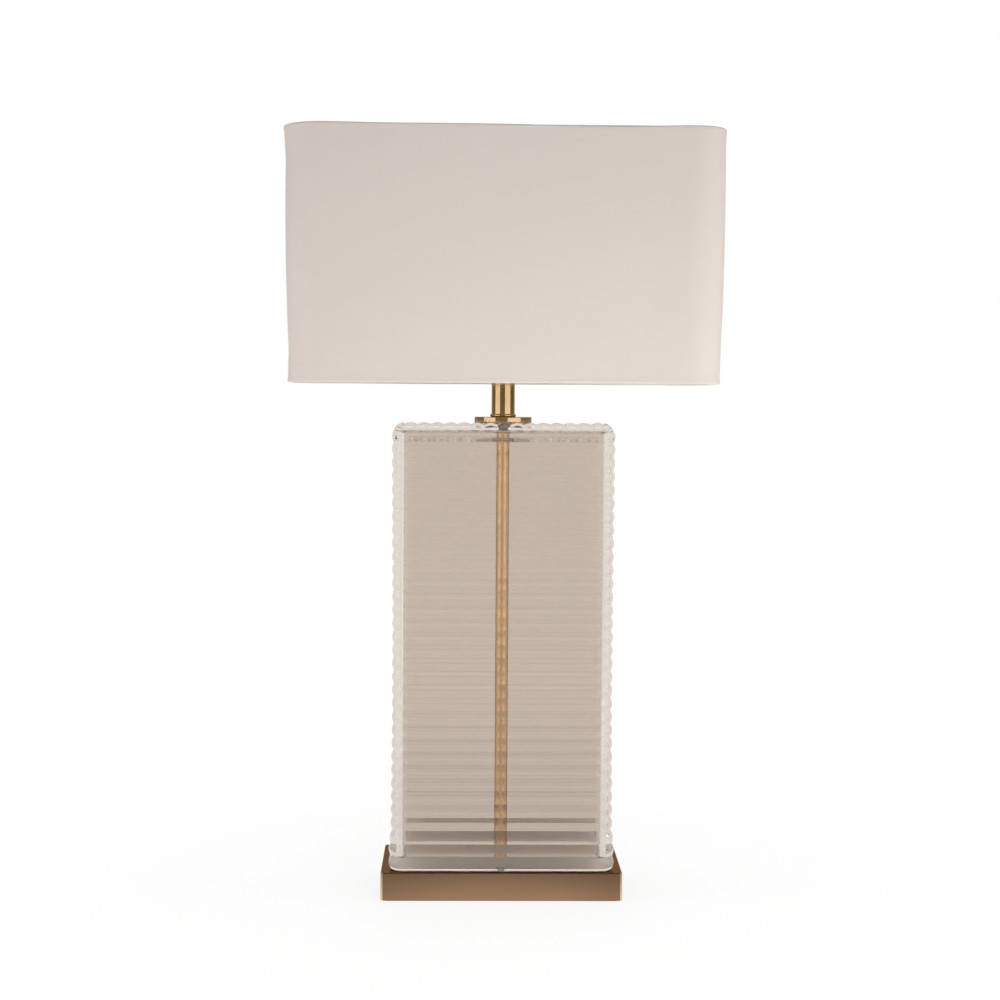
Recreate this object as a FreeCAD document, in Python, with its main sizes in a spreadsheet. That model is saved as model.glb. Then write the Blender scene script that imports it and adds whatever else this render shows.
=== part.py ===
"""Column table lamp: brass plinth, ribbed glass column, brass neck and cloth shade.

Millimetres, +Z up, front towards -Y. The origin is the middle of the footprint,
on the surface that the lamp stands on.
"""
import FreeCAD, Part
import math
import os

import Sketcher

Vector = FreeCAD.Vector
doc = FreeCAD.newDocument("column_table_lamp")

# ---------------------------------------------------------------- sizes
SIZES = (
    # base
    ("felt_thickness", 1.5, "felt pad under the base"),
    ("felt_inset", 3.0, "felt edge in from the plinth's side"),
    ("plinth_lift", 1.0, "plinth's lower rim above the surface"),
    ("base_width", 225.0, "plinth, left to right"),
    ("base_depth", 115.0, "plinth, front to back"),
    ("base_height", 26.0, "plinth, rim to top"),
    ("base_wall", 2.0, "plinth sheet"),
    ("base_corner", 2.5, "plinth's vertical corners"),
    ("base_inner_corner", 1.25, "plinth's vertical corners, inside"),
    ("base_edge", 0.8, "rounding of the plinth's upper edge"),
    ("cover_thickness", 1.2, "bottom plate"),
    ("cover_clearance", 0.3, "bottom plate to plinth, each side"),
    ("boss_radius", 4.0, "screw bosses in the plinth"),
    ("boss_inset", 6.5, "boss axis in from the plinth's inner wall"),
    ("screw_radius", 1.5, "cover screws"),
    ("screw_length", 9.0, "cover screws, with the head"),
    ("screw_head_radius", 2.8, "cover screws"),
    ("screw_clearance", 0.1, "round every small screw"),
    ("weight_width", 194.0, "ballast plate"),
    ("weight_depth", 84.0, "ballast plate"),
    ("weight_thickness", 12.0, "ballast plate"),
    ("weight_corner", 4.0, "ballast plate"),
    ("inlet_height", 9.2, "axis of the lead's inlet above the surface"),
    ("inlet_radius", 4.5, "hole in the plinth's back wall"),
    ("grommet_bore", 3.0, "radius of the hole through the gland"),
    ("grommet_rim", 1.5, "gland, how far its two rims stand out"),
    # rod and its hardware
    ("rod_radius", 5.0, "hollow lamp rod, M10 x 1"),
    ("rod_bore", 3.5, "way for the lead through the rod"),
    ("rod_overhang", 0.8, "rod below its nut"),
    ("thread_clearance", 0.05, "drawn between male and female threads"),
    ("nut_flats", 16.0, "nut under the base, across flats"),
    ("nut_thickness", 5.0, "both rod nuts"),
    ("neck_nut_flats", 14.0, "nut in the neck, across flats"),
    ("washer_radius", 12.0, "washer under the base"),
    ("washer_thickness", 1.5, "washer under the base"),
    ("lock_washer_radius", 8.0, "toothed washer"),
    ("lock_washer_thickness", 1.8, "toothed washer"),
    ("sleeve_radius", 6.0, "brass tube round the rod"),
    ("sleeve_wall", 0.8, "brass tube round the rod"),
    # glass column
    ("glass_width", 208.0, "glass, left to right, over the ribs"),
    ("glass_depth", 105.0, "glass, front to back, over the ribs"),
    ("glass_height", 418.0, "glass"),
    ("glass_wall", 8.0, "glass"),
    ("glass_floor", 10.0, "glass, closed foot"),
    ("foot_hole_radius", 5.5, "hole in the closed foot for the rod"),
    ("foot_swell", 1.5, "how far the two lowest ribs stand out"),
    ("glass_corner", 11.0, "glass, vertical corners"),
    ("glass_shoulder", 12.0, "glass, upper left and right corners"),
    ("rib_count", 33, "whole ribs up the glass; half a rib closes the top"),
    ("top_rib_count", 15, "ribs across the top of the glass"),
    ("rib_depth", 1.2, "hollow between two ribs"),
    ("land_radius", 28.5, "flat round seat of the disc on the glass"),
    ("bush_radius", 7.0, "hole in the glass for the rod's bush"),
    ("bush_rim_radius", 10.0, "rim of the bush"),
    ("bush_rim", 1.0, "thickness of the bush's rim"),
    ("fit_clearance", 0.1, "round pushed-in pieces"),
    ("lower_gasket_thickness", 0.6, "pale pad under the glass"),
    ("lower_gasket_inset", 1.0, "pad in from the outline of the glass"),
    ("upper_gasket_radius", 25.0, "gasket under the disc"),
    ("upper_gasket_thickness", 1.0, "gasket under the disc"),
    # neck
    ("disc_radius", 27.0, "brass disc on the glass"),
    ("disc_thickness", 5.0, "brass disc on the glass"),
    ("disc_edge", 0.6, "rounding of the disc's rim"),
    ("collar_radius", 12.25, "collar at the foot of the neck"),
    ("collar_height", 2.8, "collar at the foot of the neck"),
    ("collar_spigot", 2.0, "collar's step inside the neck tube"),
    ("collar_edge", 1.2, "rounding of the collar"),
    ("neck_radius", 11.0, "neck tube"),
    ("neck_wall", 1.0, "neck tube"),
    ("neck_length", 46.8, "neck tube"),
    ("neck_washer_radius", 8.6, "washer under the neck's nut"),
    ("neck_washer_thickness", 1.2, "washer under the neck's nut"),
    ("plug_spigot", 4.0, "plug's step inside the neck tube"),
    ("plug_rim", 2.0, "plug's rim on the neck tube"),
    # lampholder, E27
    ("cap_neck_radius", 8.0, "lampholder cap round the rod"),
    ("cap_neck_height", 6.0, "lampholder cap round the rod"),
    ("cap_thread", 8.0, "length of the cap's thread on the rod"),
    ("cap_radius", 17.5, "lampholder cap"),
    ("cap_height", 24.0, "lampholder cap"),
    ("cap_wall", 1.5, "lampholder cap"),
    ("cap_rim", 3.0, "width of the cap's upper rim"),
    ("grub_screw_length", 2.8, "grub screw of the cap"),
    ("shoulder_radius", 22.0, "shoulder that the shade sits on"),
    ("shoulder_thickness", 2.0, "shoulder that the shade sits on"),
    ("skirt_radius", 19.8, "thread for the shade ring"),
    ("skirt_height", 24.0, "thread for the shade ring"),
    ("mouth_radius", 17.0, "plain top of the lampholder, outside"),
    ("mouth_height", 8.0, "plain top of the lampholder"),
    ("mouth_wall", 2.0, "plain top of the lampholder"),
    ("shell_bore", 16.2, "inside of the threaded skirt"),
    ("insert_base", 8.0, "solid foot of the ceramic insert"),
    ("insert_height", 24.0, "ceramic insert"),
    ("contact_radius", 13.5, "bore of the screw contact"),
    ("contact_wall", 0.5, "screw contact"),
    ("contact_height", 20.0, "screw contact"),
    ("centre_height", 2.6, "sprung centre contact"),
    ("centre_radius", 3.5, "foot of the centre contact"),
    ("centre_top_radius", 1.75, "top of the centre contact"),
    ("terminal_size", 6.0, "terminal block, each side"),
    ("terminal_height", 7.0, "terminal block"),
    ("terminal_offset", 8.5, "terminal block from the axis"),
    # bulb
    ("bulb_gap", 0.2, "bulb's tip above the centre contact at rest"),
    ("tip_radius", 4.5, "bulb's tip, where it meets the insulator"),
    ("tip_face_radius", 2.25, "bulb's tip, lowest face"),
    ("tip_height", 1.2, "bulb's tip"),
    ("insulator_height", 3.0, "glass insulator of the bulb"),
    ("bulb_cap_radius", 13.1, "bulb's screw cap"),
    ("bulb_cap_wall", 0.5, "bulb's screw cap"),
    ("bulb_cap_height", 22.0, "bulb's screw cap"),
    ("housing_spigot", 6.0, "housing inside the cap"),
    ("housing_waist", 16.0, "radius of the housing above the cap"),
    ("housing_waist_height", 9.0, "housing's waist above the cap"),
    ("housing_height", 36.0, "housing, cap to globe"),
    ("housing_wall", 1.5, "housing"),
    ("globe_radius", 30.0, "bulb's globe"),
    ("globe_drop", 19.0, "joint of the globe below its centre"),
    ("globe_wall", 1.2, "bulb's globe"),
    ("board_thickness", 1.6, "plate with the diodes"),
    ("board_clearance", 0.75, "plate with the diodes to the housing"),
    # shade
    ("shade_width", 400.0, "shade at its top, left to right"),
    ("shade_depth", 200.0, "shade at its top, front to back"),
    ("shade_height", 231.0, "shade"),
    ("shade_corner", 35.0, "shade, vertical corners"),
    ("shade_taper", 6.5, "how much narrower the shade is at its foot"),
    ("shade_wall", 1.0, "cloth on its stiff backing"),
    ("shade_drop", 46.6, "fitter ring above the shade's lower edge"),
    ("hem_thickness", 0.6, "cloth rolled over the wires"),
    ("hem_leg", 3.4, "rolled cloth on the inside, from the edge"),
    ("wire_radius", 1.4, "frame wires"),
    ("wire_gap", 0.1, "wire to cloth"),
    ("seat_gap", 0.2, "play above and below the fitter ring"),
    ("fitter_clearance", 0.3, "fitter ring round the skirt's thread"),
    ("fitter_radius", 27.0, "fitter ring, outside"),
    ("fitter_thickness", 1.6, "fitter ring"),
    ("arm_width", 6.0, "flat arm of the carrier"),
    ("arm_thickness", 1.5, "flat arm of the carrier"),
    ("arm_gap", 0.05, "drawn at the arms' welded ends"),
    ("arm_tab", 5.0, "level tab at each end of an arm"),
    ("arm_hold", 0.7, "arm's end past the axis of the wire under it"),
    # shade ring
    ("ring_height", 8.0, "shade ring"),
    ("ring_rim_radius", 27.0, "rim of the shade ring"),
    ("ring_rim", 2.0, "thickness of the ring's rim"),
    ("ring_radius", 23.5, "grip of the shade ring"),
    ("ring_notches", 24, "notches in the grip"),
    ("notch_radius", 0.9, "notches in the grip"),
)

sizes = doc.addObject("Spreadsheet::Sheet", "sizes")
for row, (alias, value, meaning) in enumerate(SIZES, start=1):
    sizes.set(f"A{row}", meaning)
    sizes.set(f"B{row}", str(value))
    sizes.setAlias(f"B{row}", alias)
doc.recompute()

CUT_MARGIN = 2.0     # how far a cutting outline stands clear of what it cuts


# ---------------------------------------------------------------- helpers
def number(expression):
    """The present value of an expression on the sheet."""
    return float(sizes.evalExpression(expression.replace("sizes.", "")))


def origin_feature(body, role):
    """One of a body's own planes or axes."""
    return next(part for part in body.Origin.OriginFeatures if part.Role == role)


def new_body(name):
    """An empty body under its own name."""
    return doc.addObject("PartDesign::Body", name)


def new_sketch(body, name, plane="XY_Plane", lift=None):
    """A sketch on a plane of its own body, lifted along the plane's normal."""
    sketch = body.newObject("Sketcher::SketchObject", name)
    sketch.AttachmentSupport = [(origin_feature(body, plane), "")]
    sketch.MapMode = "FlatFace"
    if lift:
        sketch.setExpression("AttachmentOffset.Base.z", lift)
    return sketch


def bind(sketch, ties):
    """Adds (name, constraint, expression) ties; a tie with no name is plain geometry."""
    places = sketch.addConstraint([constraint for name, constraint, expression in ties])
    for place, (name, _, expression) in zip(places, ties):
        if name:
            sketch.renameConstraint(place, name)
            sketch.setExpression("Constraints." + name, expression)


def point_ties(name, index, end, x, y):
    """Ties that hold a point of a sketch at two expressions, measured from the origin."""
    if x == "0":
        across = ("", Sketcher.Constraint("PointOnObject", index, end, -2), "")
    else:
        across = (name + "_x", Sketcher.Constraint("DistanceX", -1, 1, index, end, number(x)), x)
    if y == "0":
        along = ("", Sketcher.Constraint("PointOnObject", index, end, -1), "")
    else:
        along = (name + "_y", Sketcher.Constraint("DistanceY", -1, 1, index, end, number(y)), y)
    return [across, along]


def arc_between(start, end, radius, turn):
    """The short arc from start to end that turns left (1) or right (-1)."""
    chord = end - start
    reach = math.sqrt(max(radius ** 2 - (chord.Length / 2) ** 2, 0.0))
    left = Vector(-chord.y, chord.x, 0).normalize()
    centre = (start + end) / 2 + left * reach * turn
    first, last = (start, end) if turn > 0 else (end, start)
    angles = [math.atan2(point.y - centre.y, point.x - centre.x) for point in (first, last)]
    if angles[1] < angles[0]:
        angles[1] += 2 * math.pi
    return Part.ArcOfCircle(Part.Circle(centre, Vector(0, 0, 1), radius), *angles)


def outline(sketch, points):
    """A closed outline. A point is (x, y), or (x, y, radius, turn) before an arc."""
    places = [Vector(number(point[0]), number(point[1]), 0) for point in points]
    ends = []
    for place, point in enumerate(points):
        start = places[place]
        end = places[(place + 1) % len(points)]
        if len(point) == 2:
            index = sketch.addGeometry(Part.LineSegment(start, end), False)
            ends.append((index, 1, 2))
        else:
            radius, turn = point[2:]
            index = sketch.addGeometry(arc_between(start, end, number(radius), turn), False)
            ends.append((index, 1, 2) if turn > 0 else (index, 2, 1))
    ties = []
    for place, (index, start, end) in enumerate(ends):
        following, following_start, _ = ends[(place + 1) % len(ends)]
        joint = Sketcher.Constraint("Coincident", index, end, following, following_start)
        ties.append(("", joint, ""))
    for place, (index, start, end) in enumerate(ends):
        point = points[place]
        ties += point_ties(f"point{place}", index, start, point[0], point[1])
        if len(point) > 2:
            bend = Sketcher.Constraint("Radius", index, number(point[2]))
            ties.append((f"bend{place}", bend, point[2]))
    bind(sketch, ties)


def rounded_rectangle(sketch, width, depth, corner):
    """A rectangle about the origin with equal round corners."""
    half_x = number(width) / 2
    half_y = number(depth) / 2
    radius = number(corner)
    loop = []
    for turn in range(4):
        quarter = turn * math.pi / 2
        along_x = (-1, 1, 1, -1)[turn]
        along_y = (-1, -1, 1, 1)[turn]
        centre = Vector(along_x * (half_x - radius), along_y * (half_y - radius), 0)
        circle = Part.Circle(centre, Vector(0, 0, 1), radius)
        arc = Part.ArcOfCircle(circle, math.pi + quarter, 1.5 * math.pi + quarter)
        loop.append(sketch.addGeometry(arc, False))
    sides = []
    for turn in range(4):
        start = sketch.getPoint(loop[turn], 2)
        end = sketch.getPoint(loop[(turn + 1) % 4], 1)
        sides.append(sketch.addGeometry(Part.LineSegment(start, end), False))
    ties = []
    for turn in range(4):
        following = loop[(turn + 1) % 4]
        ties.append(("", Sketcher.Constraint("Tangent", loop[turn], 2, sides[turn], 1), ""))
        ties.append(("", Sketcher.Constraint("Tangent", sides[turn], 2, following, 1), ""))
    ties.append(("", Sketcher.Constraint("Horizontal", sides[0]), ""))
    ties.append(("", Sketcher.Constraint("Vertical", sides[1]), ""))
    ties.append(("", Sketcher.Constraint("Equal", loop[0], loop[1]), ""))
    ties.append(("", Sketcher.Constraint("Equal", loop[0], loop[2]), ""))
    ties.append(("", Sketcher.Constraint("Symmetric", loop[0], 3, loop[2], 3, -1, 1), ""))
    across = Sketcher.Constraint("DistanceX", sides[3], 1, sides[1], 1, 2 * half_x)
    along = Sketcher.Constraint("DistanceY", sides[0], 1, sides[2], 1, 2 * half_y)
    ties.append(("width", across, width))
    ties.append(("depth", along, depth))
    ties.append(("corner", Sketcher.Constraint("Radius", loop[0], radius), corner))
    bind(sketch, ties)


def circle(sketch, name, radius, x="0", y="0"):
    """A circle whose centre and radius follow expressions."""
    centre = Vector(number(x), number(y), 0)
    ring = Part.Circle(centre, Vector(0, 0, 1), number(radius))
    index = sketch.addGeometry(ring, False)
    ties = point_ties(name, index, 3, x, y)
    ties.append((name + "_radius", Sketcher.Constraint("Radius", index, number(radius)), radius))
    bind(sketch, ties)


def corner_circles(sketch, radius, half_x, half_y):
    """Four equal circles on the corners of a rectangle about the origin."""
    for place, (sign_x, sign_y) in enumerate(((-1, -1), (1, -1), (1, 1), (-1, 1))):
        circle(sketch, f"corner{place}", radius, f"{sign_x} * ({half_x})", f"{sign_y} * ({half_y})")


def pad(body, sketch, length, both_ways=False):
    """Adds material along the sketch's normal."""
    feature = body.newObject("PartDesign::Pad", sketch.Name + "_pad")
    feature.Profile = sketch
    feature.setExpression("Length", length)
    if both_ways:
        feature.SideType = "Symmetric"
    return feature


def pocket(body, sketch, length, upward=False, both_ways=False):
    """Removes material, and makes sure that some went."""
    doc.recompute()
    before = body.Shape.Volume
    feature = body.newObject("PartDesign::Pocket", sketch.Name + "_pocket")
    feature.Profile = sketch
    feature.Reversed = upward
    feature.setExpression("Length", length)
    if both_ways:
        feature.SideType = "Symmetric"
    doc.recompute()
    if not body.Shape.Volume < before:
        raise RuntimeError(feature.Name + " removed nothing")
    return feature


def sweep(body, section, path):
    """Carries a section once round a closed path of the same body."""
    doc.recompute()
    feature = body.newObject("PartDesign::AdditivePipe", section.Name + "_sweep")
    feature.Profile = section
    feature.Spine = (path, [f"Edge{index + 1}" for index in range(len(path.Shape.Edges))])
    return feature


def turned(name, profile):
    """A turned piece: its half section is spun about the lamp's axis."""
    body = new_body(name)
    sketch = new_sketch(body, name + "_section", "XZ_Plane")
    outline(sketch, profile)
    spin = body.newObject("PartDesign::Revolution", name + "_turning")
    spin.Profile = sketch
    spin.ReferenceAxis = (sketch, ["V_Axis"])
    spin.Angle = 360
    return body


def ring_section(inner, outer, height):
    """The half section of a plain ring or tube."""
    return [(inner, "0"), (outer, "0"), (outer, height), (inner, height)]


def fillet_edges(body, name, radius, chosen):
    """Rounds the edges of the body's present shape that pass the test."""
    doc.recompute()
    base = body.Tip
    names = [f"Edge{place}" for place, edge in enumerate(base.Shape.Edges, start=1) if chosen(edge)]
    feature = body.newObject("PartDesign::Fillet", name)
    feature.Base = (base, names)
    feature.setExpression("Radius", radius)
    doc.recompute()
    return feature


def level_at(edge, height, radius):
    """Whether an edge is a level circle of that height and radius."""
    if not isinstance(edge.Curve, Part.Circle):
        return False
    same_height = abs(edge.CenterOfMass.z - height) < 0.001
    return same_height and abs(edge.Curve.Radius - radius) < 0.001


def cylinder(name, radius, height):
    """A plain cylinder whose sizes follow expressions."""
    shape = doc.addObject("Part::Cylinder", name)
    shape.setExpression("Radius", radius)
    shape.setExpression("Height", height)
    return shape


def rise(piece, height):
    """Puts a piece at a height that follows an expression."""
    piece.setExpression("Placement.Base.z", height)


def foot_of(piece):
    """The height of a piece's own zero, as a plain number in an expression."""
    return f"{piece.Name}.Placement.Base.z / 1 mm"


def seat(piece, below, height):
    """Puts a piece at a height above the foot of the piece that carries it."""
    rise(piece, f"{foot_of(below)} + {height}")


parts = []


def keep(piece):
    """Notes a finished piece as one node of the lamp."""
    piece.Label = piece.Name
    parts.append(piece)
    return piece


# ---------------------------------------------------------------- base
HALF_INSIDE_X = "(sizes.base_width / 2 - sizes.base_wall)"
HALF_INSIDE_Y = "(sizes.base_depth / 2 - sizes.base_wall)"
BOSS_X = HALF_INSIDE_X + " - sizes.boss_inset"
BOSS_Y = HALF_INSIDE_Y + " - sizes.boss_inset"
COVER_TOP = "(sizes.felt_thickness + sizes.cover_thickness)"
ROD_HOLE = "sizes.rod_radius + sizes.thread_clearance"


def make_felt_pad():
    """Felt glued under the bottom plate; the lamp stands on it."""
    body = new_body("base_felt_pad")
    plan = new_sketch(body, "felt_plan")
    inset = "2 * sizes.felt_inset"
    rounded_rectangle(plan, f"sizes.base_width - {inset}", f"sizes.base_depth - {inset}",
                      "sizes.base_corner")
    pad(body, plan, "sizes.felt_thickness")
    return keep(body)


def make_cover():
    """Steel plate that closes the plinth from below."""
    body = new_body("base_cover")
    plan = new_sketch(body, "cover_plan")
    rounded_rectangle(plan, f"2 * ({HALF_INSIDE_X} - sizes.cover_clearance)",
                      f"2 * ({HALF_INSIDE_Y} - sizes.cover_clearance)", "sizes.base_corner")
    pad(body, plan, "sizes.cover_thickness")
    holes = new_sketch(body, "cover_holes")
    corner_circles(holes, "sizes.screw_head_radius + sizes.screw_clearance", BOSS_X, BOSS_Y)
    pocket(body, holes, "sizes.cover_thickness", upward=True)
    rise(body, "sizes.felt_thickness")
    return keep(body)


def make_plinth():
    """Brass shell, open below, with four screw bosses, rod hole and lead inlet."""
    body = new_body("base_plinth")
    plan = new_sketch(body, "plinth_plan")
    rounded_rectangle(plan, "sizes.base_width", "sizes.base_depth", "sizes.base_corner")
    pad(body, plan, "sizes.base_height")
    top = number("sizes.base_height")
    fillet_edges(body, "plinth_edge", "sizes.base_edge",
                 lambda edge: abs(edge.BoundBox.ZMin - top) < 0.001)
    inside = new_sketch(body, "plinth_inside")
    rounded_rectangle(inside, f"2 * {HALF_INSIDE_X}", f"2 * {HALF_INSIDE_Y}",
                      "sizes.base_inner_corner")
    pocket(body, inside, "sizes.base_height - sizes.base_wall", upward=True)
    boss_foot = f"{COVER_TOP} - sizes.plinth_lift"
    bosses = new_sketch(body, "plinth_bosses", lift=boss_foot)
    corner_circles(bosses, "sizes.boss_radius", BOSS_X, BOSS_Y)
    pad(body, bosses, f"sizes.base_height - sizes.base_wall - ({boss_foot})")
    screw_holes = new_sketch(body, "plinth_screw_holes", lift=boss_foot)
    corner_circles(screw_holes, "sizes.screw_radius + sizes.screw_clearance", BOSS_X, BOSS_Y)
    pocket(body, screw_holes, "sizes.screw_length", upward=True)
    rod_hole = new_sketch(body, "plinth_rod_hole")
    circle(rod_hole, "hole", ROD_HOLE)
    pocket(body, rod_hole, "sizes.base_height", upward=True)
    inlet = new_sketch(body, "plinth_inlet", "XZ_Plane")
    circle(inlet, "hole", "sizes.inlet_radius", "0", "sizes.inlet_height - sizes.plinth_lift")
    pocket(body, inlet, "sizes.base_depth")
    rise(body, "sizes.plinth_lift")
    return keep(body)


def make_cover_screws():
    """Four countersunk screws through the bottom plate into the bosses."""
    screws = []
    for place, (sign_x, sign_y) in enumerate(((-1, -1), (1, -1), (1, 1), (-1, 1))):
        head = doc.addObject("Part::Cone", f"screw{place}_head")
        head.setExpression("Radius1", "sizes.screw_head_radius")
        head.setExpression("Radius2", "sizes.screw_radius")
        head.setExpression("Height", "sizes.cover_thickness")
        shank = cylinder(f"screw{place}_shank", "sizes.screw_radius",
                         "sizes.screw_length - sizes.cover_thickness")
        shank.setExpression("Placement.Base.z", "sizes.cover_thickness")
        screw = doc.addObject("Part::MultiFuse", f"screw{place}")
        screw.Shapes = [head, shank]
        screw.setExpression("Placement.Base.x", f"{sign_x} * ({BOSS_X})")
        screw.setExpression("Placement.Base.y", f"{sign_y} * ({BOSS_Y})")
        screws.append(screw)
    group = doc.addObject("Part::Compound", "base_cover_screws")
    group.Links = screws
    rise(group, "sizes.felt_thickness")
    return keep(group)


def make_weight(plinth):
    """Cast iron ballast against the underside of the plinth's top."""
    body = new_body("base_weight")
    plan = new_sketch(body, "weight_plan")
    rounded_rectangle(plan, "sizes.weight_width", "sizes.weight_depth", "sizes.weight_corner")
    pad(body, plan, "sizes.weight_thickness")
    hole = new_sketch(body, "weight_hole")
    circle(hole, "hole", "sizes.rod_radius + sizes.seat_gap")
    pocket(body, hole, "sizes.weight_thickness", upward=True)
    seat(body, plinth, "sizes.base_height - sizes.base_wall - sizes.weight_thickness")
    return keep(body)


def make_inlet_grommet():
    """Rubber gland in the plinth's back wall, with a rim on each side of it."""
    neck = "sizes.inlet_radius - sizes.fit_clearance"
    rim = "sizes.inlet_radius + sizes.grommet_rim"
    inner_face = "sizes.grommet_rim"
    outer_face = "sizes.grommet_rim + sizes.base_wall"
    end = "2 * sizes.grommet_rim + sizes.base_wall"
    body = turned("inlet_grommet", [
        ("sizes.grommet_bore", "0"), (rim, "0"), (rim, inner_face), (neck, inner_face),
        (neck, outer_face), (rim, outer_face), (rim, end), ("sizes.grommet_bore", end)])
    body.Placement = FreeCAD.Placement(Vector(), FreeCAD.Rotation(Vector(1, 0, 0), -90))
    body.setExpression("Placement.Base.y", f"{HALF_INSIDE_Y} - sizes.grommet_rim")
    body.setExpression("Placement.Base.z", "sizes.inlet_height")
    return keep(body)


make_felt_pad()
make_cover()
plinth = make_plinth()
make_cover_screws()
weight = make_weight(plinth)
make_inlet_grommet()


# ---------------------------------------------------------------- rod hardware
def make_nut(name, flats):
    """A hexagon nut on the rod."""
    block = doc.addObject("Part::Prism", name + "_hexagon")
    block.Polygon = 6
    block.setExpression("Circumradius", f"{flats} / sqrt(3)")
    block.setExpression("Height", "sizes.nut_thickness")
    hole = cylinder(name + "_hole", ROD_HOLE, "sizes.nut_thickness")
    nut = doc.addObject("Part::Cut", name)
    nut.Base = block
    nut.Tool = hole
    return keep(nut)


bottom_washer = keep(turned("bottom_washer", ring_section(
    ROD_HOLE, "sizes.washer_radius", "sizes.washer_thickness")))
seat(bottom_washer, weight, "(-sizes.washer_thickness)")
bottom_lock_washer = keep(turned("bottom_lock_washer", ring_section(
    ROD_HOLE, "sizes.lock_washer_radius", "sizes.lock_washer_thickness")))
seat(bottom_lock_washer, bottom_washer, "(-sizes.lock_washer_thickness)")
bottom_nut = make_nut("bottom_nut", "sizes.nut_flats")
seat(bottom_nut, bottom_lock_washer, "(-sizes.nut_thickness)")


# ---------------------------------------------------------------- glass column
RIB_PITCH = "sizes.glass_height / (sizes.rib_count + 0.5)"
TOP_RIB_PITCH = "(sizes.glass_width - 2 * sizes.glass_shoulder) / sizes.top_rib_count"
FOOT_RIBS = 2  # ribs that stand out at the foot


def rib_bend(pitch):
    """The radius of a rib that rises rib_depth above its two hollows."""
    return f"((({pitch}) / 2) ^ 2 + sizes.rib_depth ^ 2) / (2 * sizes.rib_depth)"


def make_glass():
    """Hollow glass, closed at its foot, with level ribs all round and ribs on top."""
    body = new_body("glass_body")
    plan = new_sketch(body, "glass_plan")
    rounded_rectangle(plan, "sizes.glass_width", "sizes.glass_depth", "sizes.glass_corner")
    crest = "sizes.glass_width / 2"
    hollow = "sizes.glass_width / 2 - sizes.rib_depth"
    foot = f"{hollow} + sizes.foot_swell"
    inner = "sizes.glass_width / 2 - sizes.glass_wall"
    bend = rib_bend(RIB_PITCH)
    ribs = int(number("sizes.rib_count"))
    section = [(inner, "0"), (foot, "0", bend, 1)]
    for rib in range(1, ribs + 1):
        reach = foot if rib <= FOOT_RIBS else hollow
        section.append((reach, f"{rib} * {RIB_PITCH}", bend, 1))
    section.append((crest, "sizes.glass_height"))
    section.append((inner, "sizes.glass_height"))
    wall = new_sketch(body, "glass_wall_section", "XZ_Plane")
    outline(wall, section)
    sweep(body, wall, plan)
    ceiling = new_sketch(body, "glass_ceiling", lift="sizes.glass_height - sizes.glass_wall")
    rounded_rectangle(ceiling, "sizes.glass_width - sizes.glass_wall",
                      "sizes.glass_depth - sizes.glass_wall",
                      "sizes.glass_corner - sizes.glass_wall / 2")
    pad(body, ceiling, "sizes.glass_wall")
    floor = new_sketch(body, "glass_floor_plan")
    rounded_rectangle(floor, "sizes.glass_width - sizes.glass_wall",
                      "sizes.glass_depth - sizes.glass_wall",
                      "sizes.glass_corner - sizes.glass_wall / 2")
    pad(body, floor, "sizes.glass_floor")
    make_glass_top(body)
    land = new_sketch(body, "glass_land", lift="sizes.glass_height - sizes.rib_depth")
    circle(land, "land", "sizes.land_radius")
    pocket(body, land, "sizes.glass_wall", upward=True)
    hole = new_sketch(body, "glass_hole", lift="sizes.glass_height")
    circle(hole, "hole", "sizes.bush_radius")
    pocket(body, hole, "2 * sizes.glass_wall")
    foot_hole = new_sketch(body, "glass_foot_hole")
    circle(foot_hole, "hole", "sizes.foot_hole_radius")
    pocket(body, foot_hole, "2 * sizes.glass_floor", upward=True)
    return keep(body)


def make_glass_top(body):
    """Cuts the round shoulders and the ribs that run front to back on the top."""
    side = "sizes.glass_width / 2"
    shoulder = "sizes.glass_height - sizes.glass_shoulder"
    edge = f"{side} - sizes.glass_shoulder"
    hollow = "sizes.glass_height - sizes.rib_depth"
    bend = rib_bend(TOP_RIB_PITCH)
    ribs = int(number("sizes.top_rib_count"))
    outside = f"{side} + {CUT_MARGIN}"
    above = f"sizes.glass_height + {CUT_MARGIN}"
    cut = [(f"-({outside})", shoulder), (f"-({side})", shoulder, "sizes.glass_shoulder", -1),
           (f"-({edge})", "sizes.glass_height", bend, -1)]
    for rib in range(ribs):
        cut.append((f"-({edge}) + ({rib} + 0.5) * {TOP_RIB_PITCH}", hollow, bend, -1))
    cut += [(edge, "sizes.glass_height", "sizes.glass_shoulder", -1), (side, shoulder),
            (outside, shoulder), (outside, above), (f"-({outside})", above)]
    top = new_sketch(body, "glass_top", "XZ_Plane")
    outline(top, cut)
    pocket(body, top, "sizes.glass_depth + 2 * sizes.glass_wall", both_ways=True)


def make_lower_gasket():
    """Pale pad under the whole foot of the glass, with the rod's hole in it."""
    body = new_body("lower_gasket")
    outer = "2 * (sizes.rib_depth + sizes.lower_gasket_inset)"
    plan = new_sketch(body, "gasket_plan")
    rounded_rectangle(plan, f"sizes.glass_width - {outer}", f"sizes.glass_depth - {outer}",
                      "sizes.glass_corner - sizes.rib_depth - sizes.lower_gasket_inset")
    pad(body, plan, "sizes.lower_gasket_thickness")
    hole = new_sketch(body, "gasket_hole")
    circle(hole, "hole", "sizes.foot_hole_radius")
    pocket(body, hole, "sizes.lower_gasket_thickness", upward=True)
    return keep(body)


def make_bush():
    """Nylon bush, pushed up into the glass, that keeps the rod off it."""
    bore = "sizes.rod_radius + sizes.fit_clearance"
    stem = "sizes.bush_radius - sizes.fit_clearance"
    top = "sizes.bush_rim + sizes.glass_wall - sizes.rib_depth"
    return keep(turned("glass_centring_bush", [
        (bore, "0"), ("sizes.bush_rim_radius", "0"), ("sizes.bush_rim_radius", "sizes.bush_rim"),
        (stem, "sizes.bush_rim"), (stem, top), (bore, top)]))


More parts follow.
